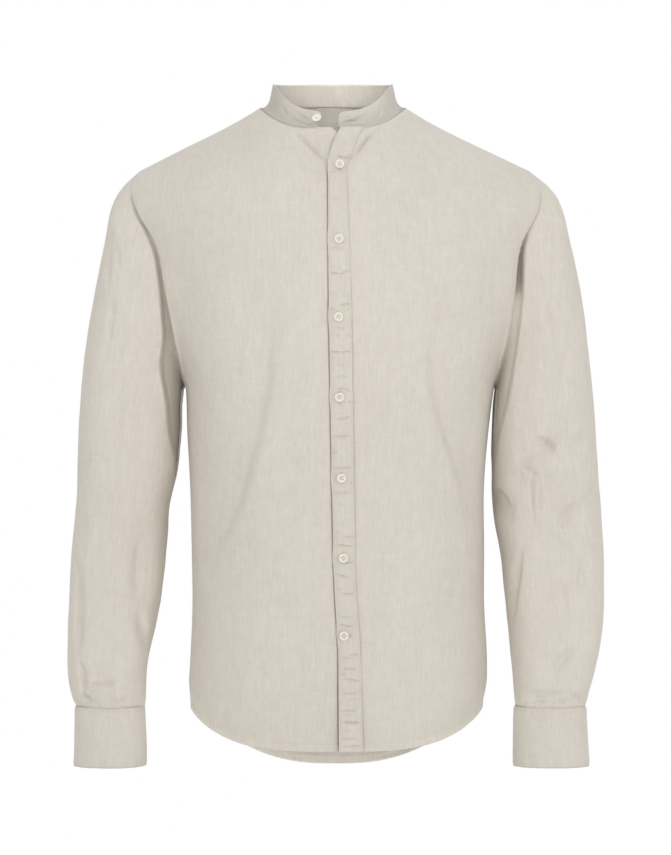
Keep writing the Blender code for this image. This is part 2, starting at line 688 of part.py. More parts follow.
def button_mesh():
    """A round button with a raised rim and four thread holes, lying on its back at the origin."""
    bm = bmesh.new()
    profile = (
        (0.0, BUTTON_THICKNESS - 0.0007),
        (BUTTON_RADIUS - BUTTON_RIM - 0.0006, BUTTON_THICKNESS - 0.0007),
        (BUTTON_RADIUS - BUTTON_RIM, BUTTON_THICKNESS),
        (BUTTON_RADIUS, BUTTON_THICKNESS - 0.0006),
        (BUTTON_RADIUS - 0.0006, 0.0),
        (0.0, 0.0),
    )
    line = [bm.verts.new((radius, 0, z)) for radius, z in profile]
    edges = [bm.edges.new(pair) for pair in zip(line, line[1:])]
    bmesh.ops.spin(bm, geom=line + edges, cent=(0, 0, 0), axis=(0, 0, 1), angle=2 * math.pi,
                   steps=12, use_merge=True)
    bmesh.ops.remove_doubles(bm, verts=bm.verts, dist=1e-6)
    bmesh.ops.recalc_face_normals(bm, faces=bm.faces)
    disc = as_object("button_disc", bm, cloth_material("button_shell", SHELL, 0.35))
    cutter_bm = bmesh.new()
    for i in range(4):
        hole = bmesh.ops.create_cone(cutter_bm, cap_ends=True, segments=5, radius1=THREAD_HOLE_RADIUS,
                                     radius2=THREAD_HOLE_RADIUS, depth=4 * BUTTON_THICKNESS)
        turn = math.pi / 4 + math.pi / 2 * i
        place = Vector((math.cos(turn), math.sin(turn), 0)) * THREAD_HOLE_OUT * math.sqrt(2)
        bmesh.ops.translate(cutter_bm, verts=hole["verts"], vec=place)
    cutter = as_object("thread_holes", cutter_bm, cloth_material("cutter", SHELL, 0.5))
    cut = disc.modifiers.new("holes", "BOOLEAN")
    cut.operation = "DIFFERENCE"
    cut.object = cutter
    bpy.context.view_layer.update()
    graph = bpy.context.evaluated_depsgraph_get()
    mesh = bpy.data.meshes.new_from_object(disc.evaluated_get(graph))
    mesh.name = "button"
    for helper in (disc, cutter):
        bpy.data.objects.remove(helper)
    return mesh


def place_button(name, mesh, face_point, normal):
    made = bpy.data.objects.new(name, mesh)
    made.location = Vector(face_point) + Vector(normal) * BUTTON_GAP
    made.rotation_mode = "QUATERNION"
    made.rotation_quaternion = Vector(normal).to_track_quat("Z", "Y")
    bpy.context.scene.collection.objects.link(made)


def make_buttons():
    mesh = button_mesh()
    for number, values in enumerate(BUTTON_ROWS, 1):
        row = dict(zip(BUTTON_NAMES, values))
        z = -row["drop"]
        u = (row["x"] - torso("sway", z)) / torso("half", z)
        place = torso_point("front", u, z, PLACKET_LIFT)
        place_button(f"button_{number}", mesh, place, torso_normal("front", u, z))
    make_collar_button(mesh)
    for side_name, side in (("right", -1), ("left", 1)):
        lift = BAND + 0.0004
        angle = CUFF_OPENING + CUFF_OVERLAP / 4
        place = cuff_point(side_name, angle, 0.5, lift)
        ends = [cuff_point(side_name, angle + turn, 0.5, lift) for turn in (-0.05, 0.05)]
        normal = np.cross(ends[1] - ends[0], (0, 0, 1)) * side
        normal /= np.linalg.norm(normal)
        if normal[1] < 0:
            normal = -normal
        place_button("cuff_button_" + side_name, mesh, place, normal)


def make_collar_button(mesh):
    """On the right end of the collar, halfway up."""
    u = COLLAR_BUTTON_X / SHOULDER_HALF
    place = collar_point("front", u, 0.52)
    across = collar_point("front", u + 0.01, 0.5) - collar_point("front", u - 0.01, 0.5)
    up = collar_point("front", u, 0.8) - collar_point("front", u, 0.2)
    normal = np.cross(across, up)
    normal /= np.linalg.norm(normal)
    if normal[1] > 0:
        normal = -normal
    place_button("button_collar", mesh, place, normal)


def main():
    for left_over in list(bpy.data.objects):
        bpy.data.objects.remove(left_over)
    panel("front_right", "front", front_columns(-1), under_placket)
    panel("front_left", "front", front_columns(1))
    panel("back", "back", lambda z: back_columns())
    make_placket()
    make_collar()
    for side_name in ("right", "left"):
        make_sleeve(side_name)
        make_cuff(side_name)
        make_vent(side_name)
    make_buttons()


main()
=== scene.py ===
import math

import bmesh
import bpy
import numpy as np
from mathutils import Matrix, Vector, noise


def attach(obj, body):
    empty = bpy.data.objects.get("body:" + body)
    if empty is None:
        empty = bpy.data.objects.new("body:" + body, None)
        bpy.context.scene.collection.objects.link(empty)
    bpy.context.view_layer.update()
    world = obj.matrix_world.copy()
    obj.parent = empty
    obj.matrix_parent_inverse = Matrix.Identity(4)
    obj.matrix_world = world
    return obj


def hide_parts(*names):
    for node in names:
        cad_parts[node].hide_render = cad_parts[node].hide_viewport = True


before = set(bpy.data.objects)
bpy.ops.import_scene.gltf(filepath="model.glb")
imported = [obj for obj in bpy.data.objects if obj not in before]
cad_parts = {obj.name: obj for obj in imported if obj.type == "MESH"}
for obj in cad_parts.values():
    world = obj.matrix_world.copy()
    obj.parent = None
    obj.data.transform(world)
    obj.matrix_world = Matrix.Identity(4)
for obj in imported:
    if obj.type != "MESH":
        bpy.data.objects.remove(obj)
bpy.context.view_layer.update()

# Camera, floor and lights

studio = {
    "cameraDistance": 3.6,
    "cameraHeight": -0.357,
    "lens": 131.8,
    "sensor": 36.0,
    "floorDrop": 1.50,        # how far the floor is below the neck
    "floorHalf": 3.4,
    "floorColour": (0.90, 0.895, 0.885),
    "floorRoughness": 0.8,
    "aim": (0.0, 0.0, -0.36),    # where the soft lamps point
    "backdrop": 1.0,          # brightness of the white that the camera sees
    "fill": 0.873,            # brightness of the same white as a light
    "dimmer": ((-0.55, -0.95, 0.36), (0.55, 0.95, 0.18)),    # direction from and to, and how much less
}
lights = (
    # name, place, size, power
    ("keyLight", (-1.5, -3.2, 0.5), 2.4, 15.0),
    ("fillLight", (2.4, -2.6, 0.1), 2.4, 15.0),
    ("topLight", (0.0, -0.6, 2.2), 2.0, 2.5),
    ("backLight", (0.0, 2.8, 1.2), 2.2, 6.0),
)
hemLight = {    # a thin beam from below on the inside of the back, where it shows under the front
    "place": (0.0, -0.58, -1.262), "aim": (0.0, 0.120, -0.662), "wide": 0.36, "tall": 0.200,
    "spread": 4.0, "power": 0.06,
}
spots = (    # a wide one on the chest, and three over the collar's front on the inside of its back
    # name, place, point of aim, power, size, spread, softness of its edge
    ("chestLight", (0.0, -2.20, 0.05), (-0.012, -0.13, -0.170), 20.0, 0.30, 15.5, 1.0),
    ("neckLightLeft", (-0.85, -1.40, 0.42), (0.052, 0.055, 0.036), 42.0, 0.04, 4.0, 0.5),
    ("neckLightMiddle", (0.0, -1.60, 0.42), (0.000, 0.080, 0.011), 62.0, 0.04, 4.0, 0.5),
    ("neckLightRight", (0.85, -1.40, 0.42), (-0.052, 0.055, 0.036), 42.0, 0.04, 4.0, 0.5),
)


def makeCamera():
    camera = bpy.data.cameras.new("studioCamera")
    camera.lens = studio["lens"]
    camera.sensor_width = studio["sensor"]
    camera.clip_end = 50.0
    holder = bpy.data.objects.new("studioCamera", camera)
    holder.location = (0.0, -studio["cameraDistance"], studio["cameraHeight"])
    holder.rotation_euler = (math.pi / 2, 0.0, 0.0)
    bpy.context.scene.collection.objects.link(holder)
    bpy.context.scene.camera = holder


def hang(light, place, aim):    # a lamp in its place, turned towards its aim
    holder = bpy.data.objects.new(light.name, light)
    holder.location = place
    holder.rotation_euler = (Vector(aim) - Vector(place)).to_track_quat("-Z", "Y").to_euler()
    bpy.context.scene.collection.objects.link(holder)


def makeLights():
    for name, place, size, power in lights:
        lamp = bpy.data.lights.new(name, "AREA")
        lamp.shape, lamp.size, lamp.energy = "DISK", size, power
        hang(lamp, place, studio["aim"])
    for name, place, aim, power, size, spread, softness in spots:
        spot = bpy.data.lights.new(name, "SPOT")
        spot.energy, spot.shadow_soft_size = power, size
        spot.spot_size, spot.spot_blend = math.radians(spread), softness
        hang(spot, place, aim)
    beam = bpy.data.lights.new("hemLight", "AREA")
    beam.shape, beam.size, beam.size_y = "RECTANGLE", hemLight["wide"], hemLight["tall"]
    beam.energy, beam.spread = hemLight["power"], math.radians(hemLight["spread"])
    hang(beam, hemLight["place"], hemLight["aim"])


def makeRoom():
    world = bpy.data.worlds.new("whiteRoom")
    world.use_nodes = True
    nodes, links = world.node_tree.nodes, world.node_tree.links
    rays = nodes.new("ShaderNodeLightPath")
    where = nodes.new("ShaderNodeTexCoord")
    split = nodes.new("ShaderNodeSeparateXYZ")
    links.new(where.outputs["Generated"], split.inputs[0])
    fill = studio["fill"]
    for low, high, dimmer in studio["dimmer"]:    # the room is darker towards its sides
        side = ranged(world.node_tree, split.outputs["X"], low, high, (1.0, 1.0 - dimmer))
        fill = reckon(world.node_tree, "MULTIPLY", side, fill)
    shown = nodes.new("ShaderNodeMapRange")
    links.new(fill, shown.inputs["To Min"])
    shown.inputs["To Max"].default_value = studio["backdrop"]
    links.new(rays.outputs["Is Camera Ray"], shown.inputs["Value"])
    links.new(shown.outputs["Result"], nodes["Background"].inputs["Strength"])
    nodes["Background"].inputs["Color"].default_value = (1.0, 1.0, 1.0, 1.0)
    bpy.context.scene.world = world
    bpy.context.scene.view_settings.view_transform = "Standard"


def makeFloor():
    bm = bmesh.new()
    bmesh.ops.create_grid(bm, x_segments=1, y_segments=1, size=studio["floorHalf"])
    bmesh.ops.translate(bm, verts=bm.verts, vec=(0.0, 0.0, -studio["floorDrop"]))
    floor = pieceFrom("floor", bm)
    material, _, shader = newMaterial("paleFloor")
    shader.inputs["Base Color"].default_value = (*studio["floorColour"], 1.0)
    shader.inputs["Roughness"].default_value = studio["floorRoughness"]
    floor.data.materials.append(material)


def pieceFrom(name, bm):
    mesh = bpy.data.meshes.new(name)
    bm.to_mesh(mesh)
    bm.free()
    piece = bpy.data.objects.new(name, mesh)
    bpy.context.scene.collection.objects.link(piece)
    return piece


# Curves and steps that the shapes share

def mix(a, b, t):
    return a + (b - a) * t


def ease(t):
    t = np.clip(t, 0.0, 1.0)
    return t * t * (3 - 2 * t)


def bell(away, width):
    return np.exp(-0.5 * (away / width) ** 2)


def columnsOf(names, rows):    # a table in millimetres as one array in metres for each named column
    return {name: np.array([row[i] for row in rows]) / 1000 for i, name in enumerate(names.split())}


def smoothAt(at, places, values):    # the smooth curve through a column of a table
    at = np.clip(at, places[0], places[-1])
    i = np.clip(np.searchsorted(places, at) - 1, 0, len(places) - 2)
    slopes = np.gradient(values, places)
    span = places[i + 1] - places[i]
    t = (at - places[i]) / span
    start = (1 + 2 * t) * (1 - t) ** 2 * values[i] + t * (1 - t) ** 2 * span * slopes[i]
    end = t * t * (3 - 2 * t) * values[i + 1] - t * t * (1 - t) * span * slopes[i + 1]
    return start + end


def easeIn(t, power, until):    # grows as a power at first, then goes on straight to 1 at 1
    scale = 1 / (until ** power + power * until ** (power - 1) * (1 - until))
    straight = until ** power + power * until ** (power - 1) * (t - until)
    return scale * np.where(t < until, np.minimum(t, until) ** power, straight)


def unit(vectors):
    return vectors / np.maximum(np.linalg.norm(vectors, axis=-1, keepdims=True), 1e-12)


def running(steps, axis=0):    # a running sum that starts from nought
    start = np.zeros_like(np.take(steps, [0], axis=axis))
    return np.concatenate((start, np.cumsum(steps, axis=axis)), axis=axis)


def farBetween(dense):    # distances along a line whose points are as dense as given
    return running((dense[1:] + dense[:-1]) / 2)


def squarer(angle, power):    # what makes a circle squarer as the power grows past 2
    return (np.abs(np.cos(angle)) ** power + np.abs(np.sin(angle)) ** power) ** (-1 / power)


def roughAt(places, size):
    waves = [size * noise.noise(Vector(place)) for place in places.reshape(-1, 3).tolist()]
    return np.array(waves).reshape(places.shape[:-1])


def roughLine(at, pitch, seed):    # an uneven wave along a line, about -1 to 1
    return roughAt(np.stack(np.broadcast_arrays(np.asarray(at) / pitch, seed, 0.37), axis=-1), 1.6)


def roughRing(angle, waves, seed):    # the same round a tube, where it meets itself
    around = waves / (2 * math.pi)
    ring = np.broadcast_arrays(np.cos(angle) * around, np.sin(angle) * around, seed)
    return roughAt(np.stack(ring, axis=-1), 1.6)


def roughSkin(points, pitch, seed):    # the same over a surface, drawn out from top to bottom
    return roughAt(points / (pitch, pitch, pitch * 1.7) + (seed, 0, 0), 1.5)


def restless(points, size, pitch, finePitch, seed):    # unevenness of two sizes
    return size * roughSkin(points, pitch, seed) + 0.35 * size * roughSkin(points, finePitch, seed + 1)


# Creases, in millimetres. Each runs from its start to its end and bows sideways in between. Depth
# is below nought for a trough; head is the share of its length at which it is deepest; lean makes
# it steeper on one side. The rows give the start, the end, bow, width, depth, head and lean.

def creasePush(x, z, x0, z0, x1, z1, bow, width, depth, head=0.5, lean=0.0):
    alongX, alongZ = x1 - x0, z1 - z0
    length = math.hypot(alongX, alongZ)
    t = np.clip(((x - x0) * alongX + (z - z0) * alongZ) / length ** 2, 0.0, 1.0)
    away = ((x - x0) * alongZ - (z - z0) * alongX) / length - bow * 4 * t * (1 - t)
    ends = ease(1.35 * t / head) * ease(1.35 * (1 - t) / (1 - head))
    share = (away / (width * (0.55 + 0.45 * ends) * (1 + lean * np.tanh(away / width)))) ** 2
    return depth * ends * (1 - 0.30 * share) * np.exp(-0.5 * share)


def creasesOn(x, z, creases):
    return sum(creasePush(x * 1000, z * 1000, *crease) for crease in creases) / 1000


def foldPush(across, down, spread, drop, width, depth):    # a broad one, with even ends
    length = np.hypot(spread, drop)
    t = np.clip((across * spread + down * drop) / length ** 2, 0.0, 1.0)
    return depth * np.sin(np.pi * t) ** 0.8 * bell((across * drop - down * spread) / length, width)


# The body: its sizes, its levels and its folds

body = {
    "cloth": 0.0014,
    "seam": 0.0003,
    "seamHalf": 0.00003,
    "neckHalf": 0.083,
    "neckSideZ": 0.011,
    "neckDrop": 0.031,
    "neckRise": 0.0066,
    "shoulderHalf": 0.224,
    "shoulderZ": -0.062,
    "shoulderY": 0.004,
    "shoulderSag": 0.0052,
    "pitZ": -0.310,
    "armFront": 0.070,
    "armBack": 0.078,
    "sideBlend": 0.26,
    "hemSideZ": -0.677,
    "hemFrontDrop": 0.040,
    "hemBackDrop": 0.079,
    "hemWidth": 0.0085,       # the turned and sewn edge
    "openSlope": 0.30,
    "openSoftness": 0.006,
    "calmAtSeams": 0.06,      # share of the half width over which creases die out at a side
    "hollowInside": 0.0065,   # how wide the front's hollows are towards the middle and outwards
    "hollowOutside": 0.0300,
}
body["neckShare"] = body["neckHalf"] / body["shoulderHalf"]
body["armMiddleZ"] = (body["shoulderZ"] + body["pitZ"]) / 2
body["armHalf"] = (body["shoulderZ"] - body["pitZ"]) / 2
body["ridgeSlope"] = ((body["neckSideZ"] - body["shoulderZ"] + 4 * body["shoulderSag"])
                      / (body["shoulderHalf"] - body["neckHalf"]))

levels = columnsOf("drop half sway front back", (
    (-20, 224, -3, -98, 82), (30, 224, -3.2, -108, 96), (62, 224, -1.2, -116, 104),
    (85, 232.5, 0.4, -121, 109), (110, 227.8, 2.2, -126, 114), (150, 206.6, 3.6, -132, 120),
    (200, 197.7, 5, -137, 124), (250, 189.4, 6, -140, 125), (310, 177.6, 5, -140, 122),
    (360, 173.2, 2.7, -137, 117), (420, 169, 1.8, -133, 112), (500, 168, 2.8, -130, 111),
    (560, 167.6, 3.2, -129, 114), (620, 170.4, 3.6, -129, 118), (680, 172, 1.4, -130, 121),
    (760, 170, 0, -130, 122),
))
edges = columnsOf("drop placket stand wide", (    # middle edges, and the placket's width
    (20, 6.6, -4, 24.5), (28.2, 2.3, 3, 24.5), (40, -2, 9.5, 24), (53, -5.2, 13, 22.5),
    (67, -7.6, 13, 21.2), (85, -8, 12.5, 21.2), (150, -8, 12.5, 23.8), (320, -5.7, 15, 24.8),
    (455, -3.2, 17.8, 24.6), (543, -0.8, 21.2, 24.2), (595, 2.6, 24, 24.6), (650, 3.4, 25, 25.6),
    (720, 4, 25.5, 26.4),
))
openLines = ((-0.0455, -0.0235, -0.0095, -0.0620), (0.0185, -0.0580, 0.0455, -0.0220))

bodyFolds = {    # the large ones: start, end, width, depth
    "front": (
        (-60, -218, -150, -290, 12, -3.4), (95, -224, 166, -260, 12, -3.4),
        (-60, -300, -118, -600, 30, 2.5), (70, -300, 125, -560, 30, 2.5),
        (-205, -150, -150, -270, 20, -4), (205, -150, 155, -270, 20, -4),
    ),
    "back": (
        (-75, -200, -90, -640, 28, -7.5), (-28, -260, -35, -700, 26, 5), (30, -230, 22, -660, 26, -6),
        (80, -250, 94, -690, 30, 6.5), (125, -230, 140, -560, 24, -6), (-120, -280, -140, -600, 24, 4.5),
        (-200, -130, -130, -230, 22, -5), (200, -130, 130, -230, 22, -5),
    ),
}
bodyCreases = {    # the finer ones
    "front": (
        (-47.5, -22, -8.3, -62.7, 0, 1.5, -3.8), (46.2, -21.5, 19, -59.5, 2, 1.5, -4),
        (10, -55.2, 22.5, -56.2, -0.8, 1.4, -1.6, 0.6), (20, -64, 33, -56, 0.8, 2, -1, 0.3),
    ),
    "back": (
        (-188, -228, -100, -305, 6, 7, -3, 0.35, 0.2), (186, -220, 108, -315, -5, 7.5, -3.2, 0.35, 0.2),
        (-170, -310, -90, -360, 4, 6, -2.2, 0.3), (166, -324, 105, -370, -4, 6, -2, 0.3),
        (-60, -420, -130, -470, -6, 8, -2.8, 0.5, 0.2), (30, -455, 120, -480, 7, 8, -2.6, 0.5, 0.2),
        (-45, -560, -52, -710, 2, 7, -2.6, 0.6), (60, -590, 70, -715, -2, 6.5, -2.4, 0.6),
        (115, -95, 150, -205, 4, 8, -2), (-120, -90, -148, -200, -4, 8, -2),
    ),
}
frontHollows = [columnsOf("drop x depth", rows) for rows in (    # steep towards the middle
    (
        (210, -66, 0), (265.6, -74.9, -4), (315.5, -81.5, -7.5), (359.8, -89.3, -9.5),
        (404.2, -102.6, -9.5), (448.5, -114.8, -7.5), (487.3, -133.6, -3.5), (526.1, -144.7, 0),
    ),
    (
        (217.9, 104.8, 0), (260, 109.5, -4.5), (304.4, 113.7, -8), (348.8, 123.7, -9), (382, 134.7, -8),
        (415.3, 145.8, -6.2), (448.5, 154.7, -3.5), (504, 162.5, 0),
    ),
)]


def hollowPush(x, z):
    total = np.zeros(np.shape(x))
    for line in frontHollows:
        away = (x - smoothAt(-z, line["drop"], line["x"])) * np.sign(line["x"][0])
        width = np.where(away < 0, body["hollowInside"], body["hollowOutside"])
        total += smoothAt(-z, line["drop"], line["depth"]) * bell(away, width)
    return total


def torso(name, z):
    return smoothAt(-z, levels["drop"], levels[name])


def ridgeZ(face, u):    # where front and back meet on top, carried on over the neck
    out = np.abs(u) * body["shoulderHalf"]
    inside = body["neckHalf"] ** 2 - out ** 2
    bulge = 289.0 * inside ** 2 if face == "back" else 0.0
    overNeck = body["neckSideZ"] + body["ridgeSlope"] / (2 * body["neckHalf"]) * inside + bulge
    share = (out - body["neckHalf"]) / (body["shoulderHalf"] - body["neckHalf"])
    sag = body["shoulderSag"] * 4 * share * np.maximum(1 - share, 0.0) ** 2.2
    onShoulder = mix(body["neckSideZ"], body["shoulderZ"], share) - sag
    return np.where(inside > 0, overNeck, onShoulder)


def topZ(face, u):    # a panel's upper edge: the neck seam, then the shoulder seam
    across = np.minimum(np.abs(u) / body["neckShare"], 1.0)
    if face == "front":
        neck = body["neckSideZ"] - body["neckDrop"] * (1 - across ** 3.3)
    else:
        neck = body["neckSideZ"] + body["neckRise"] * (1 - across ** 2)
    return np.where(across < 1, neck, ridgeZ(face, u))


def hemZ(face, u):
    drop, power = (body["hemFrontDrop"], 3.8) if face == "front" else (body["hemBackDrop"], 2.6)
    return body["hemSideZ"] - drop * (1 - np.minimum(np.abs(u), 1.0) ** power)


def fallOpen(x, z):    # how far the front falls forward beside the open neck
    inside = []
    for x0, z0, x1, z1 in openLines:
        length = math.hypot(x1 - x0, z1 - z0)
        inside.append(((x - x0) * (z0 - z1) + (z - z0) * (x1 - x0)) / length)
    past = np.maximum(np.minimum(*inside), 0.0)
    return body["openSlope"] * past * ease(past / body["openSoftness"])


def torsoBase(face, u, z):    # the smooth outer face
    sign = -1 if face == "front" else 1
    out = np.minimum(np.abs(u), 1.0)
    armDepth = body["armFront"] if face == "front" else body["armBack"]
    below = np.clip((body["armMiddleZ"] - z) / body["armHalf"], 0.0, 1.0)
    rounder = ease((body["armMiddleZ"] - z) / body["sideBlend"])
    atSeam = armDepth * (1 - below ** 2) ** mix(1.5, 0.5, out ** 30)
    sideY = body["shoulderY"] + sign * mix(armDepth * (1 - rounder), atSeam, out ** 9)
    flat = (1 - out ** mix(3.0, 2.4, rounder)) ** (1 / mix(1.0, mix(3.0, 2.4, rounder), rounder))
    fullY = sideY + (torso(face, z) - sideY) * flat
    q = np.clip((ridgeZ(face, u) - z) / mix(0.120, body["armHalf"], out), 0.0, 1.0)
    middlePower = 1.1 if face == "front" else 2.0
    rounding = (1 - (1 - q) ** 2) ** (1 / mix(middlePower, 2.0, out))
    ridgeY = body["shoulderY"] * out ** 2
    x = torso("sway", z) + u * torso("half", z)
    y = ridgeY + (fullY - ridgeY) * rounding
    if face == "front":
        y = y - fallOpen(x, z)
    return np.stack(np.broadcast_arrays(x, y, z), axis=-1)


def torsoNormal(face, u, z):
    step = 0.002
    u = np.clip(u, -0.995, 0.995)
    high = np.minimum(z + step, topZ(face, u))
    down = torsoBase(face, u, high - 2 * step) - torsoBase(face, u, high)
    across = torsoBase(face, u + step, z) - torsoBase(face, u - step, z)
    out = unit(np.cross(across, down))
    outward = 1 if face == "back" else -1
    return out * np.where(out[..., 1:2] * outward > 0, 1, -1)


def torsoPoint(face, u, z, lift=0.0):    # the outer face with its folds, moved out by lift
    u, z = np.broadcast_arrays(np.asarray(u, float), np.asarray(z, float))
    point = torsoBase(face, u, z)
    x, height = point[..., 0], point[..., 2]
    large = sum(foldPush(x * 1000 - x0, height * 1000 - z0, x1 - x0, z1 - z0, width, depth)
                for x0, z0, x1, z1, width, depth in bodyFolds[face]) / 1000
    if face == "front":
        large = large + hollowPush(x, height)
    fine = creasesOn(x, height, bodyCreases[face])
    seams = ease((1 - np.abs(u)) / body["calmAtSeams"]) * ease((topZ(face, u) - z) / 0.008 + 0.15)
    push = lift + large * ease((1 - np.abs(u)) / (2 * body["calmAtSeams"])) + fine * seams
    return point + push[..., None] * torsoNormal(face, u, z)


def shareAtEdge(name, z):    # the share across the body at which a front's middle edge lies
    return (smoothAt(-z, edges["drop"], edges[name]) - torso("sway", z)) / torso("half", z)


# Panels: a grid of points whose columns keep their place across the body

grids = {
    "armRows": 126,
    "skirtRows": 142,
    "hemRows": 9,
    "hemHeight": 0.0125,      # over which these rows lie
    "standWidth": 0.0425,     # of the button stand on the right front
    "neckColumns": 46,
    "shoulderColumns": 64,
    "placketColumns": 18,
    "placketRows": 760,
    "backNeckColumns": 14,
    "backShoulderColumns": 44,
}


def outerShares(start, side, neckCount, shoulderCount):    # columns from start out to the side
    neck = body["neckShare"]
    first = np.arcsin(start / neck)
    parts = [neck * np.sin(mix(first, side * math.pi / 2, i / neckCount)) for i in range(neckCount)]
    outwards = 1 - easeIn(1 - np.arange(shoulderCount + 1) / shoulderCount, 2.4, 0.35)
    return parts + [np.full_like(first, side * mix(neck, 1.0, share)) for share in outwards]


def ownColumns(columns):    # each column of the panel taken from its own place in z
    return np.stack([column[..., j] for j, column in enumerate(columns)], axis=-1)


def frontShares(side, z):    # z has one column for each column of the panel
    name, offsets = frontEdges[side]
    half = torso("half", z)
    beside = [shareAtEdge(name, z) + side * offset / half for offset in offsets]
    outer = outerShares(beside[-1], side, grids["neckColumns"], grids["shoulderColumns"])
    return ownColumns(beside[:-1] + outer)


def backShares(z):
    half = outerShares(np.zeros_like(z), 1, grids["backNeckColumns"], grids["backShoulderColumns"])
    return ownColumns([-share for share in reversed(half)] + half[1:])


placket = {
    "width": 0.0255,
    "columns": 22,
    "reach": (20.9, 717.0),   # its length, in millimetres below the neck
    "lift": 0.0011,           # how far its edges and its middle stand off the left front
    "middleLift": 0.0019,
    "leastLift": 0.0002,
    "scallop": 0.0011,        # how far its edge swings out beside a button
    "scallopReach": 0.011,
    "stand": 0.0026,          # how far its edge stands away at the open neck
    "hang": 0.0024,           # and at the hem
    "edgeStitch": 0.0022,
    "groove": 0.00025,        # how deep its stitches pull in
    "grooveWidth": 0.0007,
    "puff": 0.0005,           # how far the band swells between them
    "pucker": 0.00055,
    "puckerPitch": 0.0085,
    "finePitch": 0.0038,
    "deepest": 0.0007,        # how deep a pucker goes at most
    "overSeam": 0.0009,       # how far it goes up over the neck seam
    "under": 0.0020,          # how deep the right front goes down beside its edge, and how steeply
    "underAtHem": 0.0027,
    "underReach": 0.0026,
    "buttonLift": 0.0004,     # how far a button's foot stands over the band's lift and puff
}
frontEdges = {    # the edge that each front has in the middle, and the columns beside it
    1: ("placket", np.linspace(0.0, placket["width"], grids["placketColumns"] + 1)),
    -1: ("stand", np.concatenate([np.linspace(*part) for part in (    # closest at the placket's edge
        (0.0, 0.0155, 6), (0.0185, 0.0285, 21), (0.0305, grids["standWidth"], 7))])),
}


def panelHeights(face, sharesAt, count):
    top = np.full((1, count), body["neckSideZ"])
    for _ in range(20):
        top = topZ(face, sharesAt(top))
    hem = hemZ(face, sharesAt(np.full((1, count), body["hemSideZ"])))
    nearSide = ease((np.abs(sharesAt(top)) - 0.86) / 0.14)
    t = (np.arange(grids["armRows"]) / grids["armRows"])[:, None]
    down = mix(easeIn(t, 2.0, 0.3), (1 - np.cos(np.pi * t)) / 2, nearSide)
    arm = mix(top, body["pitZ"], down)
    hemTop = hem + grids["hemHeight"]
    skirt = mix(body["pitZ"], hemTop, (np.arange(grids["skirtRows"]) / grids["skirtRows"])[:, None])
    last = 1 - easeIn(1 - np.arange(grids["hemRows"] + 1) / grids["hemRows"], 1.6, 0.4)
    return np.concatenate((arm, skirt, mix(hemTop, hem, last[:, None])))

def outwardNormals(points, closed=False):
    down = np.gradient(points, axis=0)
    if closed:
        across = np.roll(points, -1, axis=1) - np.roll(points, 1, axis=1)
    else:
        across = np.gradient(points, axis=1)
    normals = unit(np.cross(across, down))
    middle = points.mean(axis=1, keepdims=True) * ((1, 1, 1) if closed else (1, 0, 1))
    return normals * np.sign(((points - middle) * normals).sum())


def clothMap(points, middle=0, level=0):    # distances across and along the cloth, in metres
    across = running(np.linalg.norm(np.diff(points, axis=1), axis=2), axis=1)
    along = running(np.linalg.norm(np.diff(points, axis=0), axis=2))
    return across - across[:, middle:middle + 1], along - along[level:level + 1]


def clothShell(name, points, inward, thickness, shift, closed=False, threads=None):
    rows, columns = points.shape[:2]
    if closed:
        points = np.concatenate((points, points[:, :1]), axis=1)
        inward = np.concatenate((inward, inward[:, :1]), axis=1)
        columns += 1
    across, along = threads if threads else clothMap(points, columns // 2)
    rounded = np.zeros((rows, columns))
    rounded[0] = rounded[-1] = 0.3
    if not closed:
        rounded[:, 0] = rounded[:, -1] = 0.3
    bm = bmesh.new()
    bmesh.ops.create_grid(bm, x_segments=columns - 1, y_segments=rows - 1, size=1)
    step = bm.verts.layers.float_vector.new("step")
    weave = bm.verts.layers.float_vector.new("weave")
    outer = (points + inward * (rounded * thickness)[..., None]).reshape(-1, 3)
    moves = (inward * ((1 - 2 * rounded) * thickness)[..., None]).reshape(-1, 3)
    marks = np.stack((across, along, np.full_like(across, shift)), axis=-1).reshape(-1, 3)
    for vert, place, move, thread in zip(bm.verts, outer.tolist(), moves.tolist(), marks.tolist()):
        vert.co = place
        vert[step] = move
        vert[weave] = thread
    made = bmesh.ops.extrude_face_region(bm, geom=bm.faces[:], use_keep_orig=True)
    for item in made["geom"]:
        if isinstance(item, bmesh.types.BMVert):
            item.co += item[step]
    if closed:
        bmesh.ops.remove_doubles(bm, verts=bm.verts, dist=1e-6)
    bmesh.ops.recalc_face_normals(bm, faces=bm.faces)
    bm.verts.layers.float_vector.remove(bm.verts.layers.float_vector["step"])
    piece = pieceFrom(name, bm)
    piece.data.shade_smooth()
    return piece


hemBand = {
    "raise": 0.00030,         # the step down from the turned cloth, and over what height
    "step": 0.0012,
    "groove": 0.00035,        # how deep and wide the stitches pull in
    "grooveWidth": 0.0009,
    "pucker": 0.00055,
    "puckerPitch": 0.011,
    "puckerSlant": 0.7,
    "puckerReach": 0.008,
    "curl": 0.0042,           # how far the edge turns in, and over what height
    "curlHeight": 0.036,
}


def hemRelief(above, across, seed):    # above is the height over the edge
    turned = ease((body["hemWidth"] - above) / hemBand["step"] + 0.5) * hemBand["raise"]
    sewn = hemBand["groove"] * bell(above - body["hemWidth"], hemBand["grooveWidth"])
    wave = roughLine(across + above * hemBand["puckerSlant"], hemBand["puckerPitch"], seed)
    near = bell(above - body["hemWidth"] * 0.6, hemBand["puckerReach"])
    curl = hemBand["curl"] * ease(1 - above / hemBand["curlHeight"])
    return turned - sewn - curl + hemBand["pucker"] * wave * near


def seamPuckers(along, away, size, pitch, reach, seed):    # short waves square to a seam
    return size * roughLine(along, pitch, seed) * np.exp(-away / reach)


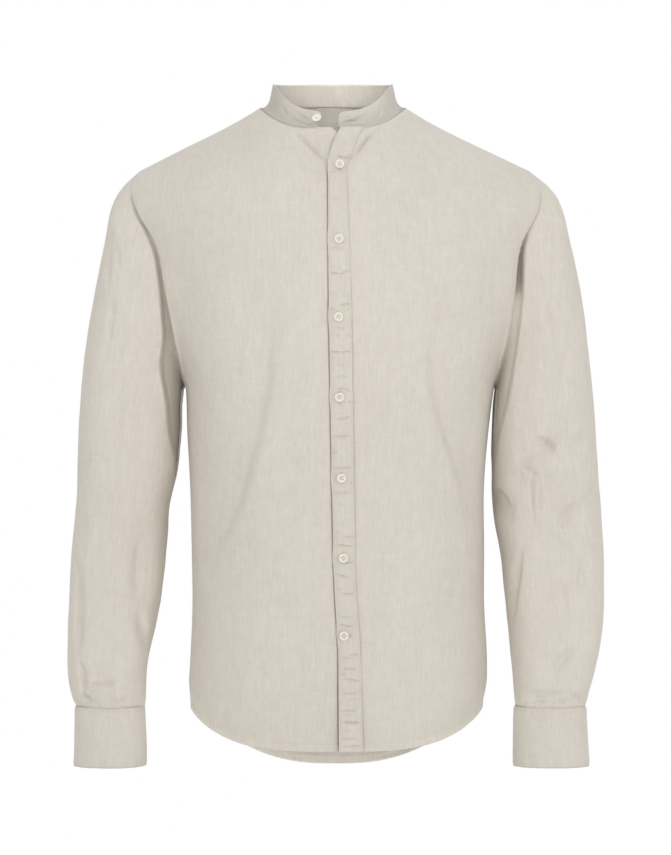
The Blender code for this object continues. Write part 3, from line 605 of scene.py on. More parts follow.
panelSeams = {
    "side": (0.0005, 0.016, 0.012),       # size, pitch and reach of the puckers
    "neck": (0.0007, 0.010, 0.012),
    "groove": (0.0014, 0.0015, 0.0010),   # depth, drop and width of the one under the collar
    "restless": (0.0007, 0.042, 0.017),   # size, and its pitches
}


def panelRelief(face, u, z, points, seed):
    hem, top, x = hemZ(face, u), topZ(face, u), points[..., 0]
    fromSide = 1 - np.abs(u)
    calm = ease(fromSide / 0.03) * ease((top - z) / 0.010) * ease((z - hem) / 0.006)
    relief = hemRelief(z - hem, x, seed)
    relief += seamPuckers(z, fromSide * 0.2, *panelSeams["side"], seed + 3) * calm
    relief += seamPuckers(x, top - z, *panelSeams["neck"], seed + 5) * calm
    if face == "front":
        depth, drop, width = panelSeams["groove"]
        relief -= depth * np.exp(-((top - z - drop) / width) ** 2) * (np.abs(u) < body["neckShare"])
    return relief + restless(points, *panelSeams["restless"], seed + 8) * calm


def panelPoints(face, sharesAt, count, seed, lower=None):
    z = panelHeights(face, sharesAt, count)
    u = sharesAt(z)
    lift = -lower(u, z) if lower else np.zeros_like(z)
    smooth = torsoBase(face, u, z)
    return u, z, torsoPoint(face, u, z, lift + panelRelief(face, u, z, smooth, seed))


def armCentre(side):
    x = (torso("half", body["shoulderZ"]) + torso("half", body["pitZ"])) / 2 * side
    return np.array((x + torso("sway", body["pitZ"]), body["shoulderY"], body["armMiddleZ"]))


def armOutward(side):
    wide = torso("half", body["shoulderZ"]) - torso("half", body["pitZ"])
    return unit(np.array((side * body["armHalf"] * 2, 0.0, -wide)))


def withoutY(directions):
    return unit(directions * (1, 0, 1))


def levelDirection(directions):
    return unit(directions * (1, 1, 0))


def threadAcross(face, u, z):    # distance round the body from its middle, level all the way
    steps, total = 16, np.zeros_like(u)
    last = torsoBase(face, u * 0, z)
    for step in range(1, steps + 1):
        here = torsoBase(face, u * (step / steps), z)
        total += np.hypot(here[..., 0] - last[..., 0], here[..., 1] - last[..., 1])
        last = here
    return total * np.sign(u)


def panelShell(name, face, u, z, points, shift):
    sign = -1 if face == "front" else 1
    inward = -outwardNormals(points)
    threads = threadAcross(face, u, z), clothMap(points, level=grids["armRows"])[1]
    arm = slice(0, grids["armRows"] + 1)
    for j, share in enumerate(u[0]):
        if abs(share) > 0.9999:
            outward = armOutward(1 if share > 0 else -1)
            across = np.maximum(inward[arm, j] @ outward, 0)
            inward[arm, j] -= np.outer(across, outward)
            inward[arm, j] = unit(inward[arm, j])
            inward[0, j] = withoutY(inward[0, j])
            inward[grids["armRows"]:, j] = withoutY(inward[grids["armRows"]:, j])
            points[arm, j] -= outward * body["seamHalf"]
            points[:, j, 1] += sign * body["seamHalf"]
        elif abs(share) > body["neckShare"] - 1e-6:
            inward[0, j] = withoutY(inward[0, j])
            points[0, j, 1] += sign * body["seamHalf"]
    return clothShell(name, points, inward, body["cloth"], shift, threads=threads)


def underPlacket(u, z):    # the right front goes down steeply beside the placket's edge and on under it
    x = u * torso("half", z) + torso("sway", z)
    beside = smoothAt(-z, edges["drop"], edges["placket"]) - x
    deep = mix(placket["under"], placket["underAtHem"], ease((-z - 0.60) / 0.08))
    return deep * (1 - ease((beside + 0.0006) / placket["underReach"])) * ease((-z - 0.0202) / 0.0042)


def makeFront(side):
    name, node = ("leftFront", "front_left") if side > 0 else ("rightFront", "front_right")
    count = len(frontEdges[side][1]) + grids["neckColumns"] + grids["shoulderColumns"]
    lower = None if side > 0 else underPlacket
    u, z, points = panelPoints("front", lambda at: frontShares(side, at), count, 2.0 + side, lower)
    sewn = sewEdges(name + "HemStitches", points, outwardNormals(points), ("foot", body["hemWidth"]))
    piece = panelShell(name, "front", u, z, points, 0.2 * side)
    keep(piece, linen, node, flat=(0.30, 0.78), area=0.185, extras=(sewn,))


def makeBack():
    count = 2 * (grids["backNeckColumns"] + grids["backShoulderColumns"]) + 1
    u, z, points = panelPoints("back", backShares, count, 7.0)
    line, normals = edgeLine(points, outwardNormals(points), "foot", body["hemWidth"])
    sewn = stitchPiece("backHemStitches", [(line, normals), (line - normals * body["cloth"], -normals)])
    piece = panelShell("plainBack", "back", u, z, points, 0.6)
    keep(piece, linen, "back", flat=(0.62, 0.80), area=0.40, extras=(sewn,))


def placketAcross(z):    # distances from its edge over the opening
    shares = np.linspace(0.0, 1.0, placket["columns"])[None, :]
    return shares * smoothAt(-z, edges["drop"], edges["wide"])


def placketShares(z):
    return shareAtEdge("placket", z) + placketAcross(z) / torso("half", z)


def placketRows():    # shares of its length, closer together at the creases
    fine = np.linspace(0.0, 1.0, 4001)
    drop = mix(*placket["reach"], fine)
    near = sum(np.exp(-((drop + (z0 + z1) / 2) / 2.6) ** 2) for _, z0, _, z1, *_ in placketCreases)
    far = farBetween(1 + 1.8 * np.minimum(near, 1.0))
    return np.interp(np.linspace(0.0, far[-1], grids["placketRows"] + 1), far, fine)[:, None]


def placketLift(z, offsets):    # how far it stands off the left front
    wide = offsets[:, -1:]
    across, fromEdge = offsets / wide, np.minimum(offsets, wide - offsets)
    puff = placket["puff"] * ease((fromEdge - 0.0012) / 0.0045)
    groove = placket["groove"] * bell(fromEdge - placket["edgeStitch"], placket["grooveWidth"])
    tilt = z + 0.12 * np.abs(offsets - wide / 2)
    waves = roughLine(tilt, placket["puckerPitch"], 11.0) * (1 - 0.45 * across)
    waves += roughLine(tilt * 1.03 + 0.4, placket["puckerPitch"], 17.0) * (0.3 + 0.6 * across)
    waves += 0.35 * roughLine(z + 0.9, placket["finePitch"], 23.0)
    pucker = placket["pucker"] * waves * (0.35 + 0.65 * ease(fromEdge / 0.004))
    lift = placket["middleLift"] + puff - groove + np.maximum(pucker, -placket["deepest"])
    atNeck, atHem = np.exp(-((z + 0.060) / 0.026) ** 2), ease((-z - 0.61) / 0.09)
    away = (placket["stand"] * atNeck + placket["hang"] * atHem) * (1 - across) ** 2
    return np.maximum(lift + creasesOn(offsets, z, placketCreases) + away, placket["leastLift"])


def makePlacket():
    top = np.full((1, placket["columns"]), -0.02)
    for _ in range(20):
        top = topZ("front", placketShares(top))
    foot = hemZ("front", placketShares(np.full_like(top, body["hemSideZ"])))
    z = mix(top - placket["overSeam"], foot, placketRows())
    offsets = placketAcross(z)
    points = torsoPoint("front", placketShares(z), z, placketLift(z, offsets))
    beside = sum(np.exp(-((z + drop) / placket["scallopReach"]) ** 2) for drop, _ in buttonRows)
    points[..., 0] -= placket["scallop"] * beside * (1 - offsets / offsets[:, -1:]) ** 2
    outward, inset = outwardNormals(points), placket["edgeStitch"]
    sewn = sewEdges("placketStitches", points, outward,
                    ("start", inset), ("end", inset), ("foot", body["hemWidth"]))
    piece = clothShell("buttonPlacket", points, -outward, body["cloth"] * 0.85, 0.9)
    keep(piece, linenBand, "placket", flat=(0.0255, 0.70), rests=("leftFront",), extras=(sewn,))


placketCreases = (    # by place across the placket and height
    (6, -55.6, 20.5, -57.2, 0.6, 0.8, -2.8, 0.5, 0.2),
    (14, -59.2, 22.8, -55.2, 0.6, 0.8, -2.8, 0.55, 0.2),
    (0.6, -73.8, 11.1, -72.7, 0, 1.1, -1.1, 0.3, 0.2), (0.6, -101.5, 14.4, -104.3, 0.6, 1.2, -0.6, 0.4),
    (10, -120.4, 23.8, -118.2, 0.4, 1.1, -0.8, 0.6, 0.2),
    (0.6, -159, 22.2, -158.1, 0, 1.1, -1.2, 0.3, 0.3),
    (0.6, -185.8, 13.3, -187.6, -0.3, 0.9, -2.1, 0.45, 0.2),
    (11.1, -187.3, 25, -182, 0.5, 0.9, -2.2, 0.55, 0.2),
    (1.1, -209.6, 13.3, -209.1, 0, 1.1, -0.9, 0.4, -0.2),
    (10, -222.2, 24.4, -219.7, 0.5, 1.1, -2, 0.6, 0.3), (0.6, -227, 8.9, -226.4, 0, 0.9, -1.4, 0.35),
    (18.9, -226.3, 24.4, -226.8, 0, 0.9, -1.1, 0.6), (2.2, -247.4, 20, -247.2, 0.3, 1.1, -1.4, 0.5, 0.2),
    (4.4, -255.9, 12.2, -255.2, 0, 1, -1.5), (18.9, -255, 24.4, -256.3, 0, 0.9, -1.3, 0.6),
    (0.6, -273.4, 12.2, -274, -0.3, 0.9, -2.1, 0.5, 0.2),
    (11.1, -273.8, 24.4, -272.5, 0.3, 0.9, -2.1, 0.5, 0.2), (6.7, -287.8, 15.5, -286.9, 0.4, 1.2, -0.9),
    (1.1, -301.1, 23.3, -299.8, 0.4, 1.1, -1.3, 0.5, 0.2),
    (7.8, -315.3, 16.6, -313.9, 0.3, 1.1, -1.7, 0.5, 0.2),
    (14.4, -314.4, 23.8, -318.4, -0.4, 1, -1.7, 0.45, 0.2), (18.9, -329, 25, -328.1, 0, 0.9, -1.7, 0.6),
    (0.9, -348.8, 23.8, -344.8, 0.5, 1.1, -1.9, 0.6, 0.2),
    (0.9, -367.8, 23.8, -366.9, -0.3, 1.1, -1.6, 0.4, 0.2), (1.1, -385.1, 7.2, -384.2, 0, 0.9, -1.5, 0.4),
    (16.6, -387.6, 22.2, -386.4, 0, 0.9, -0.9), (0.9, -402.6, 23.8, -400.9, 0.4, 1, -1.7, 0.5, 0.2),
    (18.9, -418.6, 23.3, -418.2, 0, 0.9, -1.5), (0.9, -429.9, 23.8, -427.8, 0.4, 1, -1.6, 0.45, 0.2),
    (3.3, -443.5, 14.4, -442.5, 0, 1.1, -0.8), (15.5, -459.6, 22.2, -458.5, 0, 1.1, -0.8),
    (2.2, -471.4, 7.8, -473.8, 0, 1, -1.3), (12.2, -477.7, 23.8, -478.7, -0.3, 0.9, -1.7, 0.6, 0.2),
    (0.9, -487.3, 24.2, -489.5, -0.5, 0.9, -2.2, 0.5, 0.2),
    (7.8, -506.4, 24, -506.2, 0.3, 0.9, -1.8, 0.6),
    (1.1, -520.1, 18.9, -523.9, -0.3, 1.1, -2.1, 0.4, 0.3), (2.2, -537.8, 7.8, -536.1, 0, 1, -1.4),
    (5.5, -541.4, 23.8, -541, 0.3, 0.9, -2.1, 0.6, 0.2),
    (1.1, -566.9, 22.2, -567.6, 0.3, 1, -1.7, 0.45, 0.2),
    (1.1, -576, 21.1, -578.9, -0.4, 1.1, -2.3, 0.4, 0.4),
    (8.9, -608.4, 23.8, -609.3, 0.3, 0.9, -1.5, 0.6, 0.2), (0.9, -613.3, 17.7, -612.4, 0, 0.9, -1.4, 0.4),
    (1.1, -625, 24.2, -623.9, 0.4, 1, -1.7, 0.5, 0.2), (1.1, -631.2, 10, -630.6, 0, 0.9, -1.3, 0.4),
    (3.3, -635.2, 25, -639.2, -0.5, 1, -1.8, 0.55, 0.2),
    (1.1, -652.1, 24.4, -651.4, 0.4, 1.1, -1.6, 0.5, 0.2), (11.1, -658.6, 22.2, -659.7, 0, 1, -0.9),
    (0.9, -671.1, 22.2, -670.2, 0.4, 1, -1.7, 0.45, 0.2), (4.4, -676.9, 15.5, -675.8, 0, 0.9, -1),
    (0.9, -683.6, 25.7, -684.9, -0.4, 1.1, -2.3, 0.5, 0.4), (2.2, -692.4, 13.3, -693.5, 0, 1, -1.1, 0.4),
    (0.9, -702.2, 21.1, -701.5, 0.3, 1, -1.7, 0.4, 0.2),
    (1.1, -710.6, 25.5, -709.9, 0.2, 1, -1.5, 0.6, 0.2),
)


# Collar: a band that stands round the neck. Its place round the neck is an angle, nought at the
# middle of the back, and its ends meet at the front.

collar = {
    "thickness": 0.0022,
    "backHeight": 0.0286,
    "sideHeight": 0.0304,
    "frontHeight": 0.0235,
    "lean": 0.0142,
    "hollow": 0.0060,
    "tuck": 0.0009,           # how far its foot reaches down over the neck seam
    "overSeam": 0.00110,      # how far out of the cloth below it, and over what share of its height
    "seamShare": 0.16,
    "rightFoot": -0.0176,     # where its ends stand across the body
    "rightTop": -0.0134,
    "leftFoot": 0.0070,
    "leftTop": 0.0086,
    "corner": 0.34,           # share of its height over which its ends are rounded
    "cornerReach": 0.0075,
    "rows": 17,
    "cornerRows": 10,
    "columns": 250,
    "stitchInset": 0.0022,
    "groove": 0.00022,
    "creased": 1.5,
    "soft": 0.0005,
    "softPitch": 0.035,
    "pucker": 0.00045,
    "puckerPitch": 0.0125,
    "finePitch": 0.0055,
}


def collarShares():    # shares of the height from the top edge down
    turns = np.linspace(math.pi / 2, 0.0, collar["cornerRows"] + 1)
    corner = 1 - collar["corner"] * (1 - np.sin(turns))
    return np.concatenate((corner, np.linspace(corner[-1], 0.0, collar["rows"] + 1)[1:]))


def collarEnds(up):    # the angles of its right and left ends at a share of its height
    rounded = np.clip((up - 1) / collar["corner"] + 1, 0.0, 1.0)
    pull = collar["cornerReach"] * (1 - np.sqrt(1 - rounded ** 2))
    right = mix(collar["rightFoot"], collar["rightTop"], up) - pull
    left = mix(collar["leftFoot"], collar["leftTop"], up) + pull
    return collarTurn(right, -1), collarTurn(left, 1)


def collarTurn(x, side):    # the angle at a place across its front, from one side or the other
    return side * math.pi - np.arcsin(x / body["neckHalf"])


def collarHeight(side, ahead):
    end = np.where(ahead < 0, collar["frontHeight"], collar["backHeight"])
    return mix(end, collar["sideHeight"], side ** 2)


def collarBase(turn, up):
    turn, up = np.broadcast_arrays(turn, up)
    side, ahead = np.sin(turn), np.cos(turn)
    u = body["neckShare"] * np.clip(side, -1.0, 1.0)
    front, back = (torsoPoint(face, u, topZ(face, u)) for face in ("front", "back"))
    seam = np.where((ahead < 0)[..., None], front, back)
    overSeam = 1 - ease(up / collar["seamShare"])
    rise = np.sqrt(collarHeight(side, ahead) ** 2 - collar["lean"] ** 2) * up - collar["tuck"] * overSeam
    inwards = collar["lean"] * up + collar["hollow"] * side ** 2 * np.sin(math.pi * up ** 0.42)
    inwards = inwards - collar["overSeam"] * overSeam
    return seam + np.stack((-side * inwards, -ahead * inwards, rise), axis=-1)


def collarRelief(turn, up):
    height = collarHeight(np.sin(turn), np.cos(turn))
    fromTop, fromSeam = (1 - up) * height, up * height
    along = turn * body["neckHalf"]
    sewn = sum(bell(away - collar["stitchInset"], 0.0006) for away in (fromTop, fromSeam))
    creased = creasesOn(np.sin(turn) * body["neckHalf"], fromSeam, collarCreases) * ease(-np.cos(turn) / 0.3)
    waves = roughLine(along + 0.3 * fromSeam, collar["puckerPitch"], 31.0)
    waves += 0.5 * roughLine(along - 0.2 * fromSeam, collar["finePitch"], 37.0) * np.exp(-fromSeam / 0.006)
    soft = roughLine(along * 0.9 + 0.7 * fromSeam, collar["softPitch"], 41.0)
    nearSeam = ease(fromSeam / 0.002 + 0.1) * (0.4 + 0.6 * (1 - up))
    return (collar["creased"] * creased - collar["groove"] * sewn + collar["soft"] * soft
            + collar["pucker"] * waves * nearSeam)


collarCreases = (    # along the front half, by place across and height over the seam
    (-49, 19.5, -26.5, 9.5, 0.4, 1.3, -1.5, 0.6, 0.2), (-58, 10, -19, 3.2, 0.6, 1.4, -1.4, 0.65),
    (-42, 12, -25, 6.2, 0, 1.1, -1, 0.6), (-64, 18, -56, 5, 0.3, 1.8, -1.2),
    (8, 4.2, 19, 10.8, 0.4, 1.3, -1.4, 0.4), (18, 10.6, 47, 18, 0.6, 1.3, -1.5, 0.4, 0.2),
    (11, 8, 42, 12.8, -0.6, 1.2, -1.1, 0.4), (15, 2, 40, 4.8, 0.4, 1.3, -1.1),
    (56, 4, 62, 16, 0.4, 1.8, -1.2), (11.2, 18, 12.8, 3, 1, 0.9, -1), (15, 16, 27, 17.2, 1, 0.9, -1.2),
    (-33, 19.2, -21.5, 18, -1, 0.9, -1.3, 0.6), (-35, 5.2, -20, 2.2, 0.4, 0.9, -1.2),
)


def makeCollar():
    up = collarShares()[:, None]
    start, end = collarEnds(up)
    turn = mix(start, end, np.linspace(0.0, 1.0, collar["columns"] + 1)[None, :])
    points = collarBase(turn, up)
    outward = outwardNormals(points)
    points = points + collarRelief(turn, np.broadcast_to(up, turn.shape))[..., None] * outward
    inward = -outward
    inward[-1] = levelDirection(inward[-1])
    outer = [edgeLine(points, outward, "top", collar["stitchInset"]),
             edgeLine(points, outward, "foot", collar["stitchInset"] + collar["tuck"])]
    inner = [(line - collar["thickness"] * normals, -normals) for line, normals in outer]
    sewn = stitchPiece("collarStitches", outer + inner)
    piece = clothShell("bandCollar", points, inward, collar["thickness"], 1.3)
    keep(piece, collarLinenPaintedShade, "collar", flat=(0.032, 0.47), area=0.0122, rests=("plainBack", "leftFront"),
         extras=(sewn,))


# Sleeves: tubes from the armhole seam to the cuff. Angles are round the sleeve, nought on its
# outer side and a quarter turn at the front.

sleeve = {
    "ringSteps": (14, 18, 24, 28, 30, 27, 27, 24, 15, 10, 7),    # between the rows of its table
    "columns": 182,
    "squareness": 0.75,       # how much squarer than an ellipse its sections are
    "creased": 1.6,
    "armPucker": 0.0008,
    "cuffPucker": 0.0026,
    "gatherReach": 0.013,     # how far up from the cuff it is gathered
    "restless": (0.0011, 0.046, 0.018),    # size, and its pitches
    "axisX": 0.2384,          # the line that its threads run along, and how far they lie from it
    "axisSlope": 0.086,
    "axisDrop": 0.3875,
    "threadRadius": 0.056,
    "gutterStep": 0.0036,     # how wide its outer and inner walls are, and the least width of both
    "gutterWall": 0.0026,
    "gutterLeast": 0.0012,
    "underPanels": (0.0007, 0.0012),    # how far its top is tucked in and under the panels' edges
    "underCuff": 0.0016,
    "cuffTopZ": -0.6725,
    "cuffFootZ": -0.7400,
}
sides = {"right": -1, "left": 1}
sleeveNames = "inX inDrop outX outDrop midY depth"
sleeveFoot = -sleeve["cuffTopZ"] - body["seam"]
footDrop = 1000 * sleeveFoot
sleeveRows = {
    "right": (
        (174.7, 313, 251.5, 90, 3, 71), (175.2, 320, 264.2, 140, 3, 69), (176.2, 331, 277.6, 210, 3, 68),
        (176.7, 356, 288.7, 290, 3, 66), (181.4, 400, 295.4, 375, 6, 63), (191.7, 450, 299.5, 450, 8, 59),
        (196.2, 520, 304.1, 525, 0, 56), (206.6, 585, 305.5, 595, -18, 52),
        (213.7, 625, 305, 635, -32, 47), (215.6, 656, 300.6, 658, -41, 40),
        (216.3, footDrop, 294.5, footDrop, -45, 33.5),
    ),
    "left": (
        (183.3, 313, 251.5, 90, 3, 71), (182.6, 320, 268, 140, 3, 69), (181.6, 331, 282.2, 210, 3, 68),
        (180.4, 356, 292.2, 290, 3, 66), (180, 400, 299.3, 375, 6, 63), (181.3, 450, 304.6, 450, 8, 60),
        (191.5, 515, 307.6, 520, 0, 57), (197.5, 585, 304.8, 585, -18, 52),
        (201.1, 625, 295.6, 630, -32, 47), (202.9, 656, 288.1, 656, -41, 40),
        (204.2, footDrop, 283.5, footDrop, -45, 33.5),
    ),
}
sleeveFolds = {    # the large ones: angle and height of start and end, width, depth
    "left": (
        (60, -372, 125, -392, 9, -6.5), (70, -396, 118, -406, 11, 6), (28, -432, 85, -474, 11, -5),
        (40, -458, 80, -492, 12, 4), (125, -452, 175, -438, 9, -5), (100, -190, 118, -330, 14, -5),
        (96, -470, 108, -600, 12, -3.5), (60, -640, 118, -628, 10, -4), (250, -400, 310, -425, 12, -5.5),
        (235, -450, 290, -470, 13, -4.5), (262, -200, 250, -340, 16, -5),
    ),
    "right": (
        (100, -200, 122, -350, 14, -5), (118, -440, 125, -600, 12, -4.5), (48, -250, 55, -400, 16, 3),
        (50, -641, 120, -634, 8, -4.5), (55, -655, 105, -652, 7, 3), (245, -395, 305, -420, 12, -5.5),
        (240, -455, 295, -470, 13, -4.5), (262, -200, 250, -340, 16, -5),
    ),
}
sleeveCreases = {    # the finer ones, as seen from the front or from behind
    "leftfront": (
        (221, -367.2, 251, -383.2, -3, 3.6, -3.4, 0.8, 0.5),
        (213, -395.5, 245, -391.5, -1.5, 6.8, 2.6, 0.55),
        (209, -399, 231, -411.2, 1, 2.6, -1.8, 0.55, 0.2),
        (222.3, -405.1, 224.4, -478.6, 0.8, 2.1, -1.8, 0.3),
        (231.2, -418.7, 231.2, -452.6, 0.4, 1.7, -1.4), (212.5, -486, 199, -586, 1, 3.8, -2.6, 0.5, 0.3),
        (289, -356, 267.4, -402.9, 1, 6.2, -2.4, 0.4, 0.2),
        (278.7, -441.3, 245.9, -470.7, -1.5, 4.8, -3, 0.35, 0.3),
        (285.5, -493.3, 277.5, -558.9, 1, 3.8, -2.6, 0.5, 0.3),
        (259.4, -527.2, 260.6, -572.4, 0.6, 2.4, -1.5, 0.4),
        (273, -600.7, 238, -634.6, -1.5, 4.8, -3.2, 0.4, 0.3),
        (179.2, -424.4, 197.3, -450.4, -1.2, 4, -2.6, 0.4, 0.3),
        (249.3, -111.2, 250.2, -201.6, 1, 3.6, -2, 0.4, 0.2), (245.9, -201.6, 243, -256, 0.8, 3, -2),
        (269, -238, 256, -318, 1.5, 4.5, -1.8), (208, -658.5, 270, -652, 2, 3, -2.6, 0.4, 0.2),
        (218, -664, 240, -666.5, 0.6, 1.8, -1.6), (248, -660, 262, -667, 0.8, 1.6, -1.5, 0.5, 0.2),
        (264, -656, 279, -663, -0.6, 1.8, -1.5),
    ),
    "rightfront": (
        (-219.9, -476, -222.2, -558.9, 1, 4.6, -2.2, 0.45, 0.3),
        (-221, -554, -213.1, -615, -1, 5.2, -2.8, 0.5, 0.3),
        (-291.5, -500, -291.1, -623.3, 1, 4.2, -3.4, 0.6, -0.3),
        (-290.5, -615, -284.3, -661.8, -0.8, 3.4, -3.2, 0.5, -0.3),
        (-281, -650.2, -242, -647.4, -4.6, 1.9, -2.6, 0.5, 0.3), (-277, -656.5, -244, -653, -4, 4.2, 1.4),
        (-290, -658.4, -271.9, -662.9, 0.6, 2, -2.2), (-260, -665.5, -233, -662, 0.8, 2, -0.9),
        (-288, -655, -274.2, -661.8, 0.8, 1.6, -1.6, 0.5, 0.2),
        (-284.3, -666.8, -270, -664, -0.6, 1.4, -1.4),
        (-254, -660, -239.1, -668, 0.8, 1.8, -1.6, 0.5, 0.2), (-244, -667, -228, -660, -0.8, 1.6, -1.3),
        (-256.1, -145.1, -258.3, -201.6, 0.6, 3, -2), (-245.9, -150.8, -246.3, -181.3, 0.3, 2, -1.5),
        (-251.5, -201.6, -259.5, -269.4, -0.8, 3, -1.8), (-242, -290, -247, -410, 2, 5.5, -1.6, 0.5, 0.2),
    ),
    "leftback": (
        (215, -364, 280, -390, -3, 6.2, -2.6, 0.55, 0.3), (205, -401, 260, -419, 3, 5, -2, 0.4, 0.2),
        (285, -422, 230, -469, 2.4, 6.6, -2.2, 0.45, 0.2), (238, -150, 248, -290, 2.2, 5, -1.8),
        (256, -490, 240, -600, 2, 5.6, -2), (218, -650, 233, -570, 1.4, 4.4, -2.4, 0.7, 0.2),
        (256, -654, 264, -590, 1, 3.6, -2, 0.7),
    ),
    "rightback": (
        (-220, -368, -280, -392, 3, 6.2, -2.6, 0.5, 0.3), (-210, -406, -264, -429, -2.6, 5, -1.9, 0.45),
        (-280, -434, -232, -474, -2, 6.2, -2.2, 0.5, 0.2), (-240, -156, -247, -300, -2.2, 5, -1.8),
        (-264, -496, -248, -606, 2, 5.6, -2), (-238, -654, -252, -576, -1.4, 4.2, -2.4, 0.7, 0.2),
        (-268, -656, -274, -592, 1, 3.6, -2, 0.7),
    ),
}
gutters = {    # where the sleeve hangs back beside the body: drop, its outer edge, its depth
    "right": columnsOf("drop edge deep", (
        (90, 236, 0), (105, 232, 4), (129.3, 219.5, 7), (158.7, 207.2, 11), (190.3, 201.5, 13),
        (235.6, 197.5, 18), (254.8, 196.4, 22), (283, 199.6, 25), (329.4, 193.4, 26), (367.8, 190, 22),
        (396.1, 184.5, 15), (430, 186, 0),
    )),
    "left": columnsOf("drop edge deep", (
        (99.9, 238, 0), (124.8, 226.5, 1.4), (142, 218, 5), (153, 215, 13), (173.4, 213.8, 22),
        (190, 213.4, 21), (206, 213, 11), (252.5, 208.6, 9.5), (292.1, 202.9, 11), (326, 197.3, 12),
        (359.9, 189.4, 9), (405.1, 182.6, 4), (450.3, 182, 0),
    )),
}


def gutterPush(sideName, table, point, angle):    # straight back, beside the body
    side, line = sides[sideName], gutters[sideName]
    drop, out = -point[..., 2], point[..., 0] * side
    seam = torso("half", point[..., 2]) + side * torso("sway", point[..., 2])
    inner = np.where(drop < -body["pitZ"], seam, smoothAt(drop, table["inDrop"], table["inX"]))
    edge = smoothAt(drop, line["drop"], line["edge"])
    wide = np.maximum(edge - inner, sleeve["gutterLeast"])
    step = np.minimum(sleeve["gutterStep"], 0.5 * wide)
    wall = np.minimum(sleeve["gutterWall"], 0.4 * wide)
    shown = ease((edge - out) / step) * ease((out - inner) / wall)
    return smoothAt(drop, line["drop"], line["deep"]) * shown * ease(np.sin(angle) / 0.25)


def sleeveTable(sideName):    # its rows, and over them one at the armhole
    def reach(z):
        return float(torso("half", z) + torso("sway", z) * sides[sideName])

    pit, shoulder = body["pitZ"], body["shoulderZ"]
    first = (reach(pit), -pit, reach(shoulder), -shoulder, body["shoulderY"], body["armFront"])
    return columnsOf(sleeveNames, ([1000 * value for value in first], *sleeveRows[sideName]))


def sleeveBase(sideName, table, along, angle):
    places = np.arange(len(table["inX"]), dtype=float)
    row = {name: smoothAt(along, places, values) for name, values in table.items()}
    foot = ease((along - 8.5) / 2.5)
    power = 2 + mix(sleeve["squareness"], cuff["squareness"] - 2, foot) * ease(along / 3.5)
    bend = squarer(angle, power)
    out = (1 + np.cos(angle) * bend) / 2
    x = mix(row["inX"], row["outX"], out) * sides[sideName]
    z = -mix(row["inDrop"], row["outDrop"], out)
    y = row["midY"] - row["depth"] * np.sin(angle) * bend
    return np.stack(np.broadcast_arrays(x, y, z), axis=-1)


def armholePoint(side, angle):
    z = body["armMiddleZ"] + body["armHalf"] * np.cos(angle)
    u = np.full_like(z, side)
    front, back = torsoPoint("front", u, z), torsoPoint("back", u, z)
    return np.where((np.sin(angle) > 0)[..., None], front, back)


def sleevePoint(sideName, along, angle):    # along counts the table's rows
    side, table = sides[sideName], sleeveTable(sideName)
    toFoot = len(table["inX"]) - 1 - along
    point = sleeveBase(sideName, table, along, angle)
    atArmhole = armholePoint(side, angle) - sleeveBase(sideName, table, np.zeros_like(angle), angle)
    point = point + (1 - ease(along / 3.2))[..., None] * atArmhole
    outer, inner = (sleeveBase(sideName, table, along, np.full((1, 1), turn)) for turn in (0.0, math.pi))
    out = point - (outer + inner) / 2
    radius = np.linalg.norm(out, axis=-1)
    x, z = point[..., 0], point[..., 2]
    push = np.zeros_like(radius)
    for angle0, z0, angle1, z1, width, depth in sleeveFolds[sideName]:
        turn = np.radians((np.degrees(angle) - angle0 + 180) % 360 - 180) * radius
        spread = np.radians(angle1 - angle0) * radius
        push += foldPush(turn * 1000, z * 1000 - z0, spread * 1000, z1 - z0, width, depth) / 1000
    push = push * ease(along / 1.5) * ease(toFoot / 0.6)
    for face, facing in (("front", np.sin(angle)), ("back", -np.sin(angle))):
        creased = sleeve["creased"] * creasesOn(x, z, sleeveCreases[sideName + face])
        push += creased * ease(facing / 0.5) * ease(along / 0.8)
    seed = 51.0 + side
    gather = np.exp(-np.abs(sleeveFoot + z) / sleeve["gatherReach"]) * ease(toFoot / 0.4)
    shoulder = np.exp(-along / 0.55) * ease(along / 0.25)
    push += sleeve["cuffPucker"] * roughRing(angle, 26, seed) * gather
    push += sleeve["armPucker"] * roughRing(angle, 40, seed + 4) * shoulder
    push += restless(point, *sleeve["restless"], seed + 8) * ease(along / 0.5) * ease(toFoot / 0.5)
    point = point + out / radius[..., None] * push[..., None]
    point[..., 1] += gutterPush(sideName, table, point, angle)
    return point


def ringPlaces():
    steps = sleeve["ringSteps"]
    places = [row + i / count for row, count in enumerate(steps) for i in range(count)]
    return np.array(places + [len(steps)])[:, None]


def sleeveAngles():    # closer together at the front of the inner side, where the gutter is
    fine = np.linspace(0.0, 2 * math.pi, 4001)
    far = farBetween(1 + 1.3 * np.exp(-((fine - math.radians(140)) / math.radians(22)) ** 2))
    start = np.interp(math.pi, fine, far)
    at = (start + far[-1] * np.arange(sleeve["columns"]) / sleeve["columns"]) % far[-1]
    return np.interp(at, far, fine)


def sleeveThreads(side, points):    # round its axis and down, so that the threads run along it
    closed = np.concatenate((points, points[:, :1]), axis=1)
    axis = sleeve["axisX"] - sleeve["axisSlope"] * (closed[..., 2] + sleeve["axisDrop"])
    middle = points[..., 1].mean(axis=1)[:, None]
    turn = np.unwrap(np.arctan2(middle - closed[..., 1], closed[..., 0] * side - axis), axis=1)
    return turn * sleeve["threadRadius"], -closed[..., 2]


